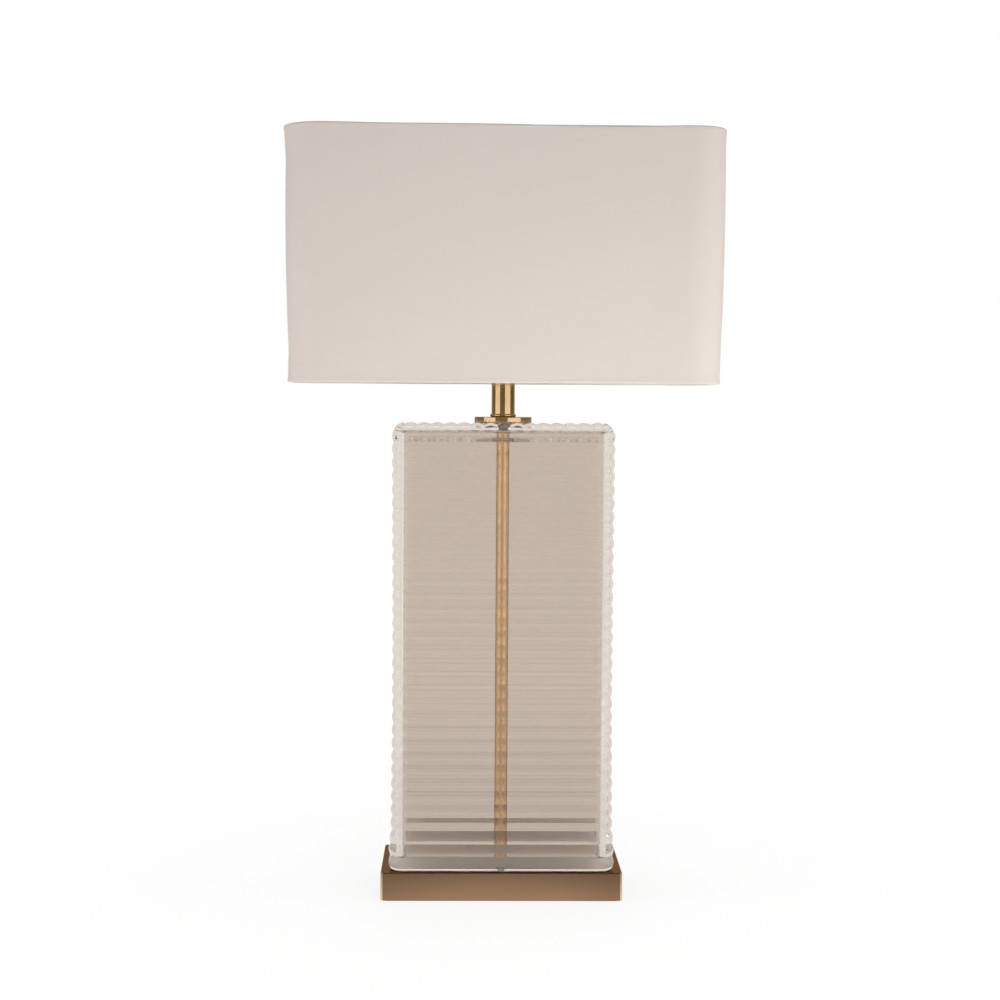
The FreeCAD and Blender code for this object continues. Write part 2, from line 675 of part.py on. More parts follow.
lower_gasket = make_lower_gasket()
seat(lower_gasket, plinth, "sizes.base_height")
glass = make_glass()
seat(glass, lower_gasket, "sizes.lower_gasket_thickness")
bush = make_bush()
seat(bush, glass, "sizes.glass_height - sizes.glass_wall - sizes.bush_rim")
rod_sleeve = keep(turned("rod_sleeve", ring_section(
    "sizes.sleeve_radius - sizes.sleeve_wall", "sizes.sleeve_radius",
    "sizes.glass_height - sizes.glass_floor - sizes.glass_wall - sizes.bush_rim")))
seat(rod_sleeve, glass, "sizes.glass_floor")


# ---------------------------------------------------------------- neck
def make_disc():
    """Turned brass disc on the glass."""
    body = turned("top_disc", ring_section(
        ROD_HOLE, "sizes.disc_radius", "sizes.disc_thickness"))
    radius = number("sizes.disc_radius")
    levels = (0.0, number("sizes.disc_thickness"))
    fillet_edges(body, "disc_rim", "sizes.disc_edge", lambda edge: any(
        level_at(edge, level, radius) for level in levels))
    return keep(body)


def make_collar():
    """Brass collar, with a step that centres the neck tube."""
    bore = "sizes.neck_washer_radius + sizes.fit_clearance"
    step = "sizes.neck_radius - sizes.neck_wall - sizes.fit_clearance"
    top = "sizes.collar_height + sizes.collar_spigot"
    body = turned("neck_collar", [
        (bore, "0"), ("sizes.collar_radius", "0"), ("sizes.collar_radius", "sizes.collar_height"),
        (step, "sizes.collar_height"), (step, top), (bore, top)])
    radius = number("sizes.collar_radius")
    levels = (0.0, number("sizes.collar_height"))
    fillet_edges(body, "collar_rim", "sizes.collar_edge", lambda edge: any(
        level_at(edge, level, radius) for level in levels))
    return keep(body)


def make_plug():
    """Brass plug that closes the neck tube and centres it on the rod."""
    step = "sizes.neck_radius - sizes.neck_wall - sizes.fit_clearance"
    top = "sizes.plug_spigot + sizes.plug_rim"
    return keep(turned("neck_plug", [
        (ROD_HOLE, "0"), (step, "0"), (step, "sizes.plug_spigot"),
        ("sizes.neck_radius", "sizes.plug_spigot"), ("sizes.neck_radius", top), (ROD_HOLE, top)]))


upper_gasket = keep(turned("upper_gasket", ring_section(
    ROD_HOLE, "sizes.upper_gasket_radius", "sizes.upper_gasket_thickness")))
seat(upper_gasket, glass, "sizes.glass_height - sizes.rib_depth")
disc = make_disc()
seat(disc, upper_gasket, "sizes.upper_gasket_thickness")
neck_washer = keep(turned("neck_washer", ring_section(
    ROD_HOLE, "sizes.neck_washer_radius", "sizes.neck_washer_thickness")))
seat(neck_washer, disc, "sizes.disc_thickness")
neck_nut = make_nut("neck_nut", "sizes.neck_nut_flats")
seat(neck_nut, neck_washer, "sizes.neck_washer_thickness")
collar = make_collar()
seat(collar, disc, "sizes.disc_thickness")
neck_tube = keep(turned("neck_tube", ring_section(
    "sizes.neck_radius - sizes.neck_wall", "sizes.neck_radius", "sizes.neck_length")))
seat(neck_tube, collar, "sizes.collar_height")
plug = make_plug()
seat(plug, neck_tube, "sizes.neck_length - sizes.plug_spigot")


# ---------------------------------------------------------------- lampholder
def make_lampholder_cap():
    """Lower housing, screwed on the rod, with a hole for its grub screw."""
    inside = "sizes.cap_radius - sizes.cap_wall"
    rim = "sizes.cap_radius - sizes.cap_rim"
    flare = "sizes.cap_neck_height + sizes.cap_thread"
    rim_foot = "sizes.cap_height - sizes.cap_wall"
    body = turned("lampholder_cap", [
        (ROD_HOLE, "0"), ("sizes.cap_neck_radius", "0"),
        ("sizes.cap_neck_radius", "sizes.cap_neck_height"), ("sizes.cap_radius", flare),
        ("sizes.cap_radius", "sizes.cap_height"), (rim, "sizes.cap_height"), (rim, rim_foot),
        (inside, rim_foot), (inside, f"{flare} + sizes.cap_wall"),
        ("sizes.cap_neck_radius", "sizes.cap_thread"), (ROD_HOLE, "sizes.cap_thread")])
    hole = new_sketch(body, "grub_hole", "YZ_Plane")
    circle(hole, "hole", "sizes.screw_radius + sizes.screw_clearance", "0", "sizes.cap_neck_height / 2")
    pocket(body, hole, "sizes.cap_radius", upward=True)
    return keep(body)


def make_grub_screw(cap):
    """Grub screw that locks the cap on the rod."""
    screw = cylinder("lampholder_grub_screw", "sizes.screw_radius", "sizes.grub_screw_length")
    screw.Placement = FreeCAD.Placement(Vector(), FreeCAD.Rotation(Vector(0, 1, 0), 90))
    screw.setExpression("Placement.Base.x", ROD_HOLE)
    seat(screw, cap, "sizes.cap_neck_height / 2")
    return keep(screw)


def make_shell():
    """Threaded skirt with the shoulder that carries the shade."""
    skirt_top = "sizes.shoulder_thickness + sizes.skirt_height"
    top = f"{skirt_top} + sizes.mouth_height"
    mouth = "sizes.mouth_radius - sizes.mouth_wall"
    return keep(turned("lampholder_shell", [
        ("sizes.shell_bore", "0"), ("sizes.shoulder_radius", "0"),
        ("sizes.shoulder_radius", "sizes.shoulder_thickness"),
        ("sizes.skirt_radius", "sizes.shoulder_thickness"), ("sizes.skirt_radius", skirt_top),
        ("sizes.mouth_radius", skirt_top), ("sizes.mouth_radius", top), (mouth, top),
        (mouth, skirt_top), ("sizes.shell_bore", skirt_top)]))


def make_insert():
    """Ceramic core: a solid foot and a cup for the screw contact."""
    outer = "sizes.shell_bore - sizes.fit_clearance"
    cup = "sizes.contact_radius + sizes.contact_wall + sizes.fit_clearance"
    return keep(turned("lampholder_insert", [
        ("0", "0"), (outer, "0"), (outer, "sizes.insert_height"), (cup, "sizes.insert_height"),
        (cup, "sizes.insert_base"), ("0", "sizes.insert_base")]))


def make_centre_contact():
    """Sprung brass button under the bulb's tip."""
    return keep(turned("lampholder_centre_contact", [
        ("0", "0"), ("sizes.centre_radius", "0"),
        ("sizes.centre_radius", "sizes.contact_wall"),
        ("sizes.centre_top_radius", "sizes.centre_height"), ("0", "sizes.centre_height")]))


def make_terminals(insert):
    """Two brass terminal blocks under the insert, and their two screws."""
    blocks = []
    screws = []
    for side, sign in (("left", -1), ("right", 1)):
        cube = doc.addObject("Part::Box", f"terminal_cube_{side}")
        for span in ("Length", "Width"):
            cube.setExpression(span, "sizes.terminal_size")
        cube.setExpression("Height", "sizes.terminal_height")
        for axis in ("x", "y"):
            cube.setExpression(f"Placement.Base.{axis}", "-sizes.terminal_size / 2")
        hole = cylinder(f"terminal_hole_{side}", "sizes.screw_radius + sizes.screw_clearance",
                        "sizes.terminal_size")
        screw = cylinder(f"terminal_screw_{side}", "sizes.screw_radius", "sizes.terminal_size")
        turn = FreeCAD.Rotation(Vector(0, 1, 0), 90)
        hole.Placement = FreeCAD.Placement(Vector(), turn)
        screw.Placement = FreeCAD.Placement(Vector(), turn)
        hole.setExpression("Placement.Base.x", "-sizes.terminal_size / 2")
        hole.setExpression("Placement.Base.z", "sizes.terminal_height / 2")
        screw.setExpression("Placement.Base.x",
                            f"{sign} * sizes.terminal_offset - sizes.terminal_size / 2")
        screw.setExpression("Placement.Base.z", "sizes.terminal_height / 2")
        block = doc.addObject("Part::Cut", f"terminal_block_{side}")
        block.Base = cube
        block.Tool = hole
        block.setExpression("Placement.Base.x", f"{sign} * sizes.terminal_offset")
        blocks.append(block)
        screws.append(screw)
    for name, pieces in (("lampholder_terminals", blocks),
                         ("lampholder_terminal_screws", screws)):
        group = doc.addObject("Part::Compound", name)
        group.Links = pieces
        seat(group, insert, "(-sizes.terminal_height)")
        keep(group)


lampholder_cap = make_lampholder_cap()
seat(lampholder_cap, plug, "sizes.plug_spigot + sizes.plug_rim")
make_grub_screw(lampholder_cap)
shell = make_shell()
seat(shell, lampholder_cap, "sizes.cap_height")
insert = make_insert()
seat(insert, lampholder_cap, "sizes.cap_height")
screw_contact = keep(turned("lampholder_screw_contact", ring_section(
    "sizes.contact_radius", "sizes.contact_radius + sizes.contact_wall", "sizes.contact_height")))
seat(screw_contact, insert, "sizes.insert_base")
centre_contact = make_centre_contact()
seat(centre_contact, insert, "sizes.insert_base")
make_terminals(insert)

doc.recompute()
threaded_rod = keep(turned("threaded_rod", ring_section(
    "sizes.rod_bore", "sizes.rod_radius",
    f"{foot_of(lampholder_cap)} + sizes.cap_thread - {foot_of(bottom_nut)} + sizes.rod_overhang")))
seat(threaded_rod, bottom_nut, "(-sizes.rod_overhang)")


# ---------------------------------------------------------------- bulb
CAP_FOOT = "(sizes.tip_height + sizes.insulator_height)"
CAP_TOP = f"({CAP_FOOT} + sizes.bulb_cap_height)"
GLOBE_FOOT = f"({CAP_TOP} + sizes.housing_height)"
GLOBE_CENTRE = f"({GLOBE_FOOT} + sizes.globe_drop)"
GLOBE_JOINT = "sqrt(sizes.globe_radius ^ 2 - sizes.globe_drop ^ 2)"
INNER_GLOBE = "(sizes.globe_radius - sizes.globe_wall)"
INNER_JOINT = f"sqrt({INNER_GLOBE} ^ 2 - sizes.globe_drop ^ 2)"


def make_bulb():
    """Screw-in bulb: tip, insulator, cap, housing, diode board and globe."""
    lip = "sizes.bulb_cap_radius - 2 * sizes.bulb_cap_wall"
    bore = "sizes.bulb_cap_radius - sizes.bulb_cap_wall"
    spigot = f"{bore} - sizes.fit_clearance"
    waist = "sizes.housing_waist"
    tip = turned("bulb_contact", [
        ("0", "0"), ("sizes.tip_face_radius", "0"), ("sizes.tip_radius", "sizes.tip_height"),
        ("0", "sizes.tip_height")])
    insulator = turned("bulb_insulator", [
        ("0", "sizes.tip_height"), ("sizes.tip_radius", "sizes.tip_height"), (lip, CAP_FOOT),
        ("0", CAP_FOOT)])
    cap = turned("bulb_cap", [
        ("sizes.tip_radius", CAP_FOOT), ("sizes.bulb_cap_radius", CAP_FOOT),
        ("sizes.bulb_cap_radius", CAP_TOP), (bore, CAP_TOP),
        (bore, f"{CAP_FOOT} + sizes.bulb_cap_wall"),
        ("sizes.tip_radius", f"{CAP_FOOT} + sizes.bulb_cap_wall")])
    housing = turned("bulb_housing", [
        (f"{spigot} - sizes.housing_wall", f"{CAP_TOP} - sizes.housing_spigot"),
        (spigot, f"{CAP_TOP} - sizes.housing_spigot"), (spigot, CAP_TOP),
        ("sizes.bulb_cap_radius", CAP_TOP), (waist, f"{CAP_TOP} + sizes.housing_waist_height"),
        (GLOBE_JOINT, GLOBE_FOOT), (f"{GLOBE_JOINT} - sizes.housing_wall", GLOBE_FOOT),
        (f"{waist} - sizes.housing_wall", f"{CAP_TOP} + sizes.housing_waist_height"),
        (f"{spigot} - sizes.housing_wall", CAP_TOP)])
    board_rim = f"{GLOBE_JOINT} - sizes.housing_wall - sizes.board_clearance"
    board_foot = f"{GLOBE_FOOT} - sizes.board_thickness"
    board = turned("bulb_led_board", [
        ("0", board_foot), (board_rim, board_foot), (board_rim, GLOBE_FOOT), ("0", GLOBE_FOOT)])
    globe = turned("bulb_diffuser", [
        (GLOBE_JOINT, GLOBE_FOOT, "sizes.globe_radius", 1),
        ("0", f"{GLOBE_CENTRE} + sizes.globe_radius"),
        ("0", f"{GLOBE_CENTRE} + {INNER_GLOBE}", INNER_GLOBE, -1), (INNER_JOINT, GLOBE_FOOT)])
    for piece in (tip, insulator, cap, housing, board, globe):
        seat(piece, centre_contact, "sizes.centre_height + sizes.bulb_gap")
        keep(piece)


make_bulb()


# ---------------------------------------------------------------- shade
FOOT_WIDTH = "(sizes.shade_width - sizes.shade_taper)"
FOOT_DEPTH = "(sizes.shade_depth - sizes.shade_taper)"
HEM_REACH = "(sizes.shade_wall + 2 * sizes.wire_gap + 2 * sizes.wire_radius + sizes.hem_thickness)"
WIRE_INSET = "(sizes.shade_wall + sizes.wire_gap + sizes.wire_radius)"
WIRE_LEVEL = "(sizes.hem_thickness + sizes.wire_gap + sizes.wire_radius)"
FITTER_BORE = "sizes.skirt_radius + sizes.fitter_clearance"


def make_shade_panel():
    """Cloth on a stiff backing: a rounded rectangular drum that tapers down."""
    body = new_body("shade_panel")
    foot = "sizes.hem_thickness"
    top = "sizes.shade_height - sizes.hem_thickness"
    for layer, inset, kind in (("outside", "0", "PartDesign::AdditiveLoft"),
                               ("inside", "sizes.shade_wall", "PartDesign::SubtractiveLoft")):
        lower = new_sketch(body, f"shade_{layer}_foot", lift=foot)
        rounded_rectangle(lower, f"{FOOT_WIDTH} - 2 * {inset}", f"{FOOT_DEPTH} - 2 * {inset}",
                          f"sizes.shade_corner - {inset}")
        upper = new_sketch(body, f"shade_{layer}_top", lift=top)
        rounded_rectangle(upper, f"sizes.shade_width - 2 * {inset}",
                          f"sizes.shade_depth - 2 * {inset}", f"sizes.shade_corner - {inset}")
        doc.recompute()
        loft = body.newObject(kind, f"shade_{layer}_loft")
        loft.Profile = lower
        loft.Sections = [upper]
        loft.Ruled = True
        doc.recompute()
    return keep(body)


def make_wire(name, width, depth):
    """Wire frame inside the edge of the shade."""
    body = new_body(name)
    path = new_sketch(body, name + "_path")
    rounded_rectangle(path, f"{width} - 2 * {WIRE_INSET}", f"{depth} - 2 * {WIRE_INSET}",
                      f"sizes.shade_corner - {WIRE_INSET}")
    section = new_sketch(body, name + "_section", "XZ_Plane")
    circle(section, "wire", "sizes.wire_radius", f"{width} / 2 - {WIRE_INSET}", "0")
    sweep(body, section, path)
    return keep(body)


def make_hem(name, width, depth, upward):
    """Cloth rolled over the edge and a wire; its legs point down or up."""
    body = new_body(name)
    path = new_sketch(body, name + "_path")
    rounded_rectangle(path, width, depth, "sizes.shade_corner")
    section = new_sketch(body, name + "_section", "XZ_Plane")
    way = "" if upward else "-"
    outer = f"{width} / 2"
    inner = f"{width} / 2 - {HEM_REACH}"
    leg = f"{inner} + sizes.hem_thickness"
    outline(section, [
        (outer, "0"), (outer, f"{way}sizes.hem_thickness"), (leg, f"{way}sizes.hem_thickness"),
        (leg, f"{way}sizes.hem_leg"), (inner, f"{way}sizes.hem_leg"), (inner, "0")])
    sweep(body, section, path)
    return keep(body)


def make_arm(name, turn, reach):
    """Flat strip from the fitter ring out and down to the lower wire."""
    body = new_body(name)
    profile = new_sketch(body, name + "_profile", "XZ_Plane")
    start = "sizes.fitter_radius + sizes.arm_gap"
    end = f"{reach} - {WIRE_INSET} + sizes.arm_hold"
    low = f"{WIRE_LEVEL} + sizes.wire_radius + sizes.arm_gap"
    high = "sizes.shade_drop"
    thick = "sizes.arm_thickness"
    outline(profile, [
        (start, high), (f"{start} + sizes.arm_tab", high), (f"{end} - sizes.arm_tab", low),
        (end, low), (end, f"{low} + {thick}"), (f"{end} - sizes.arm_tab", f"{low} + {thick}"),
        (f"{start} + sizes.arm_tab", f"{high} + {thick}"), (start, f"{high} + {thick}")])
    pad(body, profile, "sizes.arm_width", both_ways=True)
    body.Placement = FreeCAD.Placement(Vector(), FreeCAD.Rotation(Vector(0, 0, 1), turn))
    return body


def make_arms():
    """Four arms: two long ones left and right, two short ones front and back."""
    arms = []
    for name, turn, reach in (("right", 0, FOOT_WIDTH), ("back", 90, FOOT_DEPTH),
                              ("left", 180, FOOT_WIDTH), ("front", 270, FOOT_DEPTH)):
        arms.append(make_arm(f"arm_{name}", turn, f"{reach} / 2"))
    group = doc.addObject("Part::Compound", "shade_spider_arms")
    group.Links = arms
    return keep(group)


fitter = keep(turned("shade_fitter_ring", ring_section(
    FITTER_BORE, "sizes.fitter_radius", "sizes.fitter_thickness")))
seat(fitter, shell, "sizes.shoulder_thickness + sizes.seat_gap")
shade_panel = make_shade_panel()
seat(shade_panel, fitter, "(-sizes.shade_drop)")
bottom_wire = make_wire("shade_bottom_ring", FOOT_WIDTH, FOOT_DEPTH)
seat(bottom_wire, shade_panel, WIRE_LEVEL)
top_wire = make_wire("shade_top_ring", "sizes.shade_width", "sizes.shade_depth")
seat(top_wire, shade_panel, f"sizes.shade_height - {WIRE_LEVEL}")
bottom_hem = make_hem("shade_bottom_trim", FOOT_WIDTH, FOOT_DEPTH, upward=True)
seat(bottom_hem, shade_panel, "0")
top_hem = make_hem("shade_top_trim", "sizes.shade_width", "sizes.shade_depth", upward=False)
seat(top_hem, shade_panel, "sizes.shade_height")
spider_arms = make_arms()
seat(spider_arms, shade_panel, "0")


# ---------------------------------------------------------------- shade ring
def make_shade_ring():
    """Threaded ring with a rim and a notched grip that clamps the shade."""
    bore = "sizes.skirt_radius + sizes.fit_clearance"
    body = turned("shade_ring", [
        (bore, "0"), ("sizes.ring_rim_radius", "0"), ("sizes.ring_rim_radius", "sizes.ring_rim"),
        ("sizes.ring_radius", "sizes.ring_rim"), ("sizes.ring_radius", "sizes.ring_height"),
        (bore, "sizes.ring_height")])
    notch = new_sketch(body, "ring_notch", lift="sizes.ring_height")
    circle(notch, "notch", "sizes.notch_radius", "sizes.ring_radius", "0")
    first = pocket(body, notch, "sizes.ring_height - sizes.ring_rim")
    notches = body.newObject("PartDesign::PolarPattern", "ring_notches_all")
    notches.Originals = [first]
    notches.Axis = (origin_feature(body, "Z_Axis"), [""])
    notches.Angle = 360
    notches.setExpression("Occurrences", "sizes.ring_notches")
    body.Tip = notches
    return keep(body)


shade_ring = make_shade_ring()
seat(shade_ring, fitter, "sizes.fitter_thickness + sizes.seat_gap")


# ---------------------------------------------------------------- check and write
doc.recompute()
for item in doc.Objects:
    if "Invalid" in item.State or "Error" in item.State:
        raise RuntimeError(f"{item.Name} failed: {item.State}")
for piece in parts:
    if piece.Shape.isNull() or not piece.Shape.isValid():
        raise RuntimeError(f"{piece.Label} has no sound shape")

os.makedirs("parts", exist_ok=True)
for piece in parts:
    piece.Shape.exportStep(os.path.join("parts", piece.Label + ".step"))
    box = piece.Shape.BoundBox
    print(f"{piece.Label:28s} solids {len(piece.Shape.Solids)}  volume {piece.Shape.Volume:11.1f}"
          f"  z {box.ZMin:7.2f} to {box.ZMax:7.2f}")
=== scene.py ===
"""Looks of a column table lamp: ribbed glass on a brass plinth, under a cloth shade.

Metres, +Z up, front towards -Y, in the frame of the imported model. Each operator
dresses one piece or one group of like pieces; the last one sets up the stage.
"""

import math

import bmesh
import bpy
from mathutils import Matrix, Vector, noise


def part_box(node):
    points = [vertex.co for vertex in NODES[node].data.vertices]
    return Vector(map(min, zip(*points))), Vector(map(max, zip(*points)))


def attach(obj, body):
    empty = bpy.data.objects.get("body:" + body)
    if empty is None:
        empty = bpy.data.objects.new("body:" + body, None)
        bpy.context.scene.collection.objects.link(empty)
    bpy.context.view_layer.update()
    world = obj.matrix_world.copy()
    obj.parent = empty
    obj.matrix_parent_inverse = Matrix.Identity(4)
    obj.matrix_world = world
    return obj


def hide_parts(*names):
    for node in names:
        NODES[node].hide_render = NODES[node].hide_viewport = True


bl_info = {
    "name": "Column Table Lamp",
    "version": (1, 0, 0),
    "blender": (4, 5, 0),
    "location": "View3D > Sidebar > Lamp",
    "description": "Dresses a ribbed glass table lamp with its finishes and its stage",
    "category": "Object",
}

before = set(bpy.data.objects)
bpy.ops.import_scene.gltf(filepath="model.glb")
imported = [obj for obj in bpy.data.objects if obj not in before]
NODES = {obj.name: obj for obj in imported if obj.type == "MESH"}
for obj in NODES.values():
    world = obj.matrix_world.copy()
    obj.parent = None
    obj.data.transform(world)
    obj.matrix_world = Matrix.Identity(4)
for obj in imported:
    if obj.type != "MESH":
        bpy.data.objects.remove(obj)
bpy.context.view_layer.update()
MM = 0.001

GLASS_LOW, GLASS_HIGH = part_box("glass_body")
HEM_LOW, HEM_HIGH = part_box("shade_bottom_trim")
BASE_LOW, BASE_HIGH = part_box("base_plinth")


# ---- settings
def length(name, description, default):
    """A property that holds a length in metres."""
    return bpy.props.FloatProperty(name=name, description=description, default=default,
                                   precision=5, unit="LENGTH")


def share(name, description, default):
    """A property that holds a plain share or strength."""
    return bpy.props.FloatProperty(name=name, description=description, default=default)


def tone(name, description, default):
    """A property that holds a colour as it would look on screen, 0 to 255."""
    return bpy.props.FloatVectorProperty(name=name, description=description, size=3,
                                         subtype="COLOR_GAMMA", min=0.0, max=1.0,
                                         default=[channel / 255 for channel in default])


class GlassSettings(bpy.types.PropertyGroup):
    """Sizes and tint of the ribbed glass column."""
    wall: length("Wall", "Thickness of the glass", 8.0 * MM)
    corner: length("Corner", "Outer radius of the vertical corners", 11.0 * MM)
    inner_corner: length("Inner corner", "Radius of the hollow's vertical corners", 9.0 * MM)
    shoulder: length("Shoulder", "Radius of the upper left and right corners", 12.0 * MM)
    rib_depth: length("Rib depth", "Hollow between two ribs", 1.6 * MM)
    ribs: bpy.props.IntProperty(name="Ribs", description="Whole ribs up the glass", default=33)
    top_ribs: bpy.props.IntProperty(name="Top ribs", description="Ribs across the top", default=15)
    rim: length("Rim", "Rounding of the top edge, front and back", 2.4 * MM)
    foot_swell: length("Foot swell", "How far the two lowest ribs stand out", 1.5 * MM)
    floor: length("Floor", "Thickness of the closed foot", 10.0 * MM)
    foot_gap: length("Foot gap", "Air between the glass and its pad", 0.05 * MM)
    foot_hole: length("Foot hole", "Radius of the rod's hole through the foot", 5.5 * MM)
    top_hole: length("Top hole", "Radius of the bush's hole through the top", 7.0 * MM)
    seat: length("Seat", "Radius of the disc's flat seat on the top", 28.5 * MM)
    waist: length("Waist", "How far the sides draw in halfway up", 0.9 * MM)
    tint: tone("Tint", "Colour that one wall gives to light", (222, 213, 204))


class ShadeSettings(bpy.types.PropertyGroup):
    """Sizes and colours of the cloth shade."""
    corner: length("Corner", "Radius of the vertical corners", 35.0 * MM)
    cloth: length("Cloth", "Thickness of the cloth on its backing", 1.0 * MM)
    thread: length("Thread", "Pitch of the weave", 0.55 * MM)
    lap: length("Lap", "Width of the seam at the back", 11.0 * MM)
    belly: length("Belly", "How far the ends bow out between their wires", 1.7 * MM)
    pull: length("Pull", "How far the left end draws in at its wires", 1.1 * MM)
    sag: length("Sag", "How far the front's upper edge dips, right of the middle", 1.5 * MM)
    colour: tone("Colour", "Colour of the cloth", (236, 225, 217))
    lining: tone("Lining", "Colour of the backing inside", (238, 234, 228))


class MetalSettings(bpy.types.PropertyGroup):
    """Colours of the metal pieces."""
    antique: tone("Antique brass", "Colour of the plinth", (150, 119, 92))
    # painted shade: the colour that the plinth darkens to towards its upper edge
    painted_shade: tone("Shading", "Colour of the plinth's darker parts", (132, 104, 80))
    polished: tone("Polished brass", "Colour of the disc, collar and neck", (226, 195, 146))
    rod: tone("Rod brass", "Colour of the tube inside the glass", (232, 200, 152))
    grazing: tone("Grazing brass", "Colour of brass seen almost edge on", (178, 162, 152))
    # painted highlight: the colour laid on the plinth's upright corners
    wear_and_highlight: tone("Highlight brass", "Colour of the plinth's rubbed corners", (238, 212, 170))
    zinc: tone("Zinc", "Colour of the plated hardware", (196, 197, 200))


class StageSettings(bpy.types.PropertyGroup):
    """Camera, light and floor."""
    distance: length("Distance", "Camera to the lamp's axis, level", 1.850)
    height: length("Height", "Camera above the floor", 0.471)
    azimuth: share("Azimuth", "Camera to the left of the front, degrees", 1.15)
    pitch: share("Pitch", "Camera down from level, degrees", 3.08)
    roll: share("Roll", "Camera turned about its own axis, degrees", 0.35)
    pan: share("Pan", "Camera aimed to the left of the lamp's axis, degrees", 0.075)
    lens: share("Lens", "Focal length for a 36 mm wide frame", 70.2)
    world: share("World", "Strength of the even light from all round", 0.42)
    room: tone("Room", "Colour of the unlit room that metal shows", (112, 96, 84))
    softbox: share("Softbox", "Strength of the two soft lamps that metal shows", 0.92)
    key: share("Key", "Strength of the main lamp, low in front", 4.3)
    fill: share("Fill", "Strength of the lamps at the sides and behind", 4.5)
    floor: tone("Floor", "Colour of the floor", (240, 239, 238))


def settings(group):
    """The scene's own copy of one group of settings."""
    return getattr(bpy.context.scene, "lamp_" + group)


# ---- finishes
def linear(colour):
    """A screen colour, 0 to 1, as the four linear numbers that a shader takes."""
    channels = [c / 12.92 if c <= 0.04045 else ((c + 0.055) / 1.055) ** 2.4 for c in colour]
    return (*channels, 1.0)


def screen(*colour):
    """A screen colour written 0 to 255, as linear numbers."""
    return linear([channel / 255 for channel in colour])


def scaled(colour, part):
    """A linear colour made darker by a part."""
    return (*(channel * part for channel in colour[:3]), 1.0)


class Graph:
    """Adds nodes to one node tree."""

    def __init__(self, tree):
        self.tree = tree

    def add(self, kind, *links, **values):
        """A node; links are (input, source socket) pairs, values are its inputs."""
        node = self.tree.nodes.new(kind)
        for socket, source in links:
            self.tree.links.new(source, node.inputs[socket])
        for socket, value in values.items():
            node.inputs[socket.replace("_", " ").title()].default_value = value
        return node

    def blend(self, factor, low, high, start=0.35, end=0.65):
        """Two colours mixed by a factor that runs from start to end."""
        ramp = self.add("ShaderNodeValToRGB", ("Fac", factor))
        ramp.color_ramp.elements[0].position = start
        ramp.color_ramp.elements[1].position = end
        ramp.color_ramp.elements[0].color = low
        ramp.color_ramp.elements[1].color = high
        return ramp.outputs["Color"]

    def overlay(self, factor, under, over):
        """One plain colour laid over another by a factor from 0 to 1."""
        node = self.add("ShaderNodeMix")
        node.data_type = "RGBA"
        node.inputs[7].default_value = over
        self.tree.links.new(under, node.inputs[6])
        self.tree.links.new(factor, node.inputs[0])
        return node.outputs[2]

    def spread(self, factor, low, high, start=0.0, end=1.0):
        """A factor that runs from start to end, turned into low to high."""
        node = self.add("ShaderNodeMapRange", ("Value", factor), from_min=start, from_max=end,
                        to_min=low, to_max=high)
        return node.outputs["Result"]

    def maths(self, operation, first, second=0.0):
        """One sum on two sockets or numbers."""
        node = self.tree.nodes.new("ShaderNodeMath")
        node.operation = operation
        for place, value in enumerate((first, second)):
            if isinstance(value, (int, float)):
                node.inputs[place].default_value = value
            else:
                self.tree.links.new(value, node.inputs[place])
        return node.outputs[0]

    def mix(self, factor, first, second):
        """Two shaders mixed by a factor from 0 to 1."""
        return self.add("ShaderNodeMixShader", (0, factor), (1, first), (2, second)).outputs[0]

    def clear_rays(self, path):
        """1 for rays that came through glass or off its polished faces."""
        return self.maths("MAXIMUM", path["Is Singular Ray"], path["Is Transmission Ray"])


FINISH = {}


class Finish(Graph):
    """A material round one Principled shader, kept in FINISH under its slot's name."""

    def __init__(self, name, colour, roughness, metallic=0.0, **sockets):
        material = bpy.data.materials.new(name)
        material.use_nodes = True
        FINISH[name] = material
        super().__init__(material.node_tree)
        self.shader = self.tree.nodes["Principled BSDF"]
        self.shader.inputs["Base Color"].default_value = colour
        self.shader.inputs["Roughness"].default_value = roughness
        self.shader.inputs["Metallic"].default_value = metallic
        for socket, value in sockets.items():
            self.shader.inputs[socket.replace("_", " ").title()].default_value = value
        self.place = self.add("ShaderNodeTexCoord").outputs["Object"]

    def feed(self, socket, source):
        """Ties one of the shader's own inputs to a node."""
        self.tree.links.new(source, self.shader.inputs[socket])

    def noise(self, scale, detail=3.0, stretch=(1, 1, 1), place=None):
        """Noise in the lamp's own space; stretch above 1 makes it finer that way."""
        spread = self.add("ShaderNodeVectorMath", (0, place or self.place))
        spread.operation = "MULTIPLY"
        spread.inputs[1].default_value = stretch
        node = self.add("ShaderNodeTexNoise", ("Vector", spread.outputs[0]), scale=scale,
                        detail=detail)
        return node.outputs["Fac"]

    def bump(self, height, distance, strength=1.0):
        """Lets a height in metres' worth of distance shape the surface."""
        node = self.add("ShaderNodeBump", ("Height", height), strength=strength,
                        distance=distance)
        self.feed("Normal", node.outputs["Normal"])

    def wear(self, colour, wear_and_highlight, scale=30.0):
        """Colour and roughness that drift gently over the piece."""
        patches = self.noise(scale)
        self.feed("Base Color", self.blend(patches, colour, wear_and_highlight))
        rough = self.shader.inputs["Roughness"].default_value
        self.feed("Roughness", self.spread(patches, rough * 0.8, rough * 1.25))


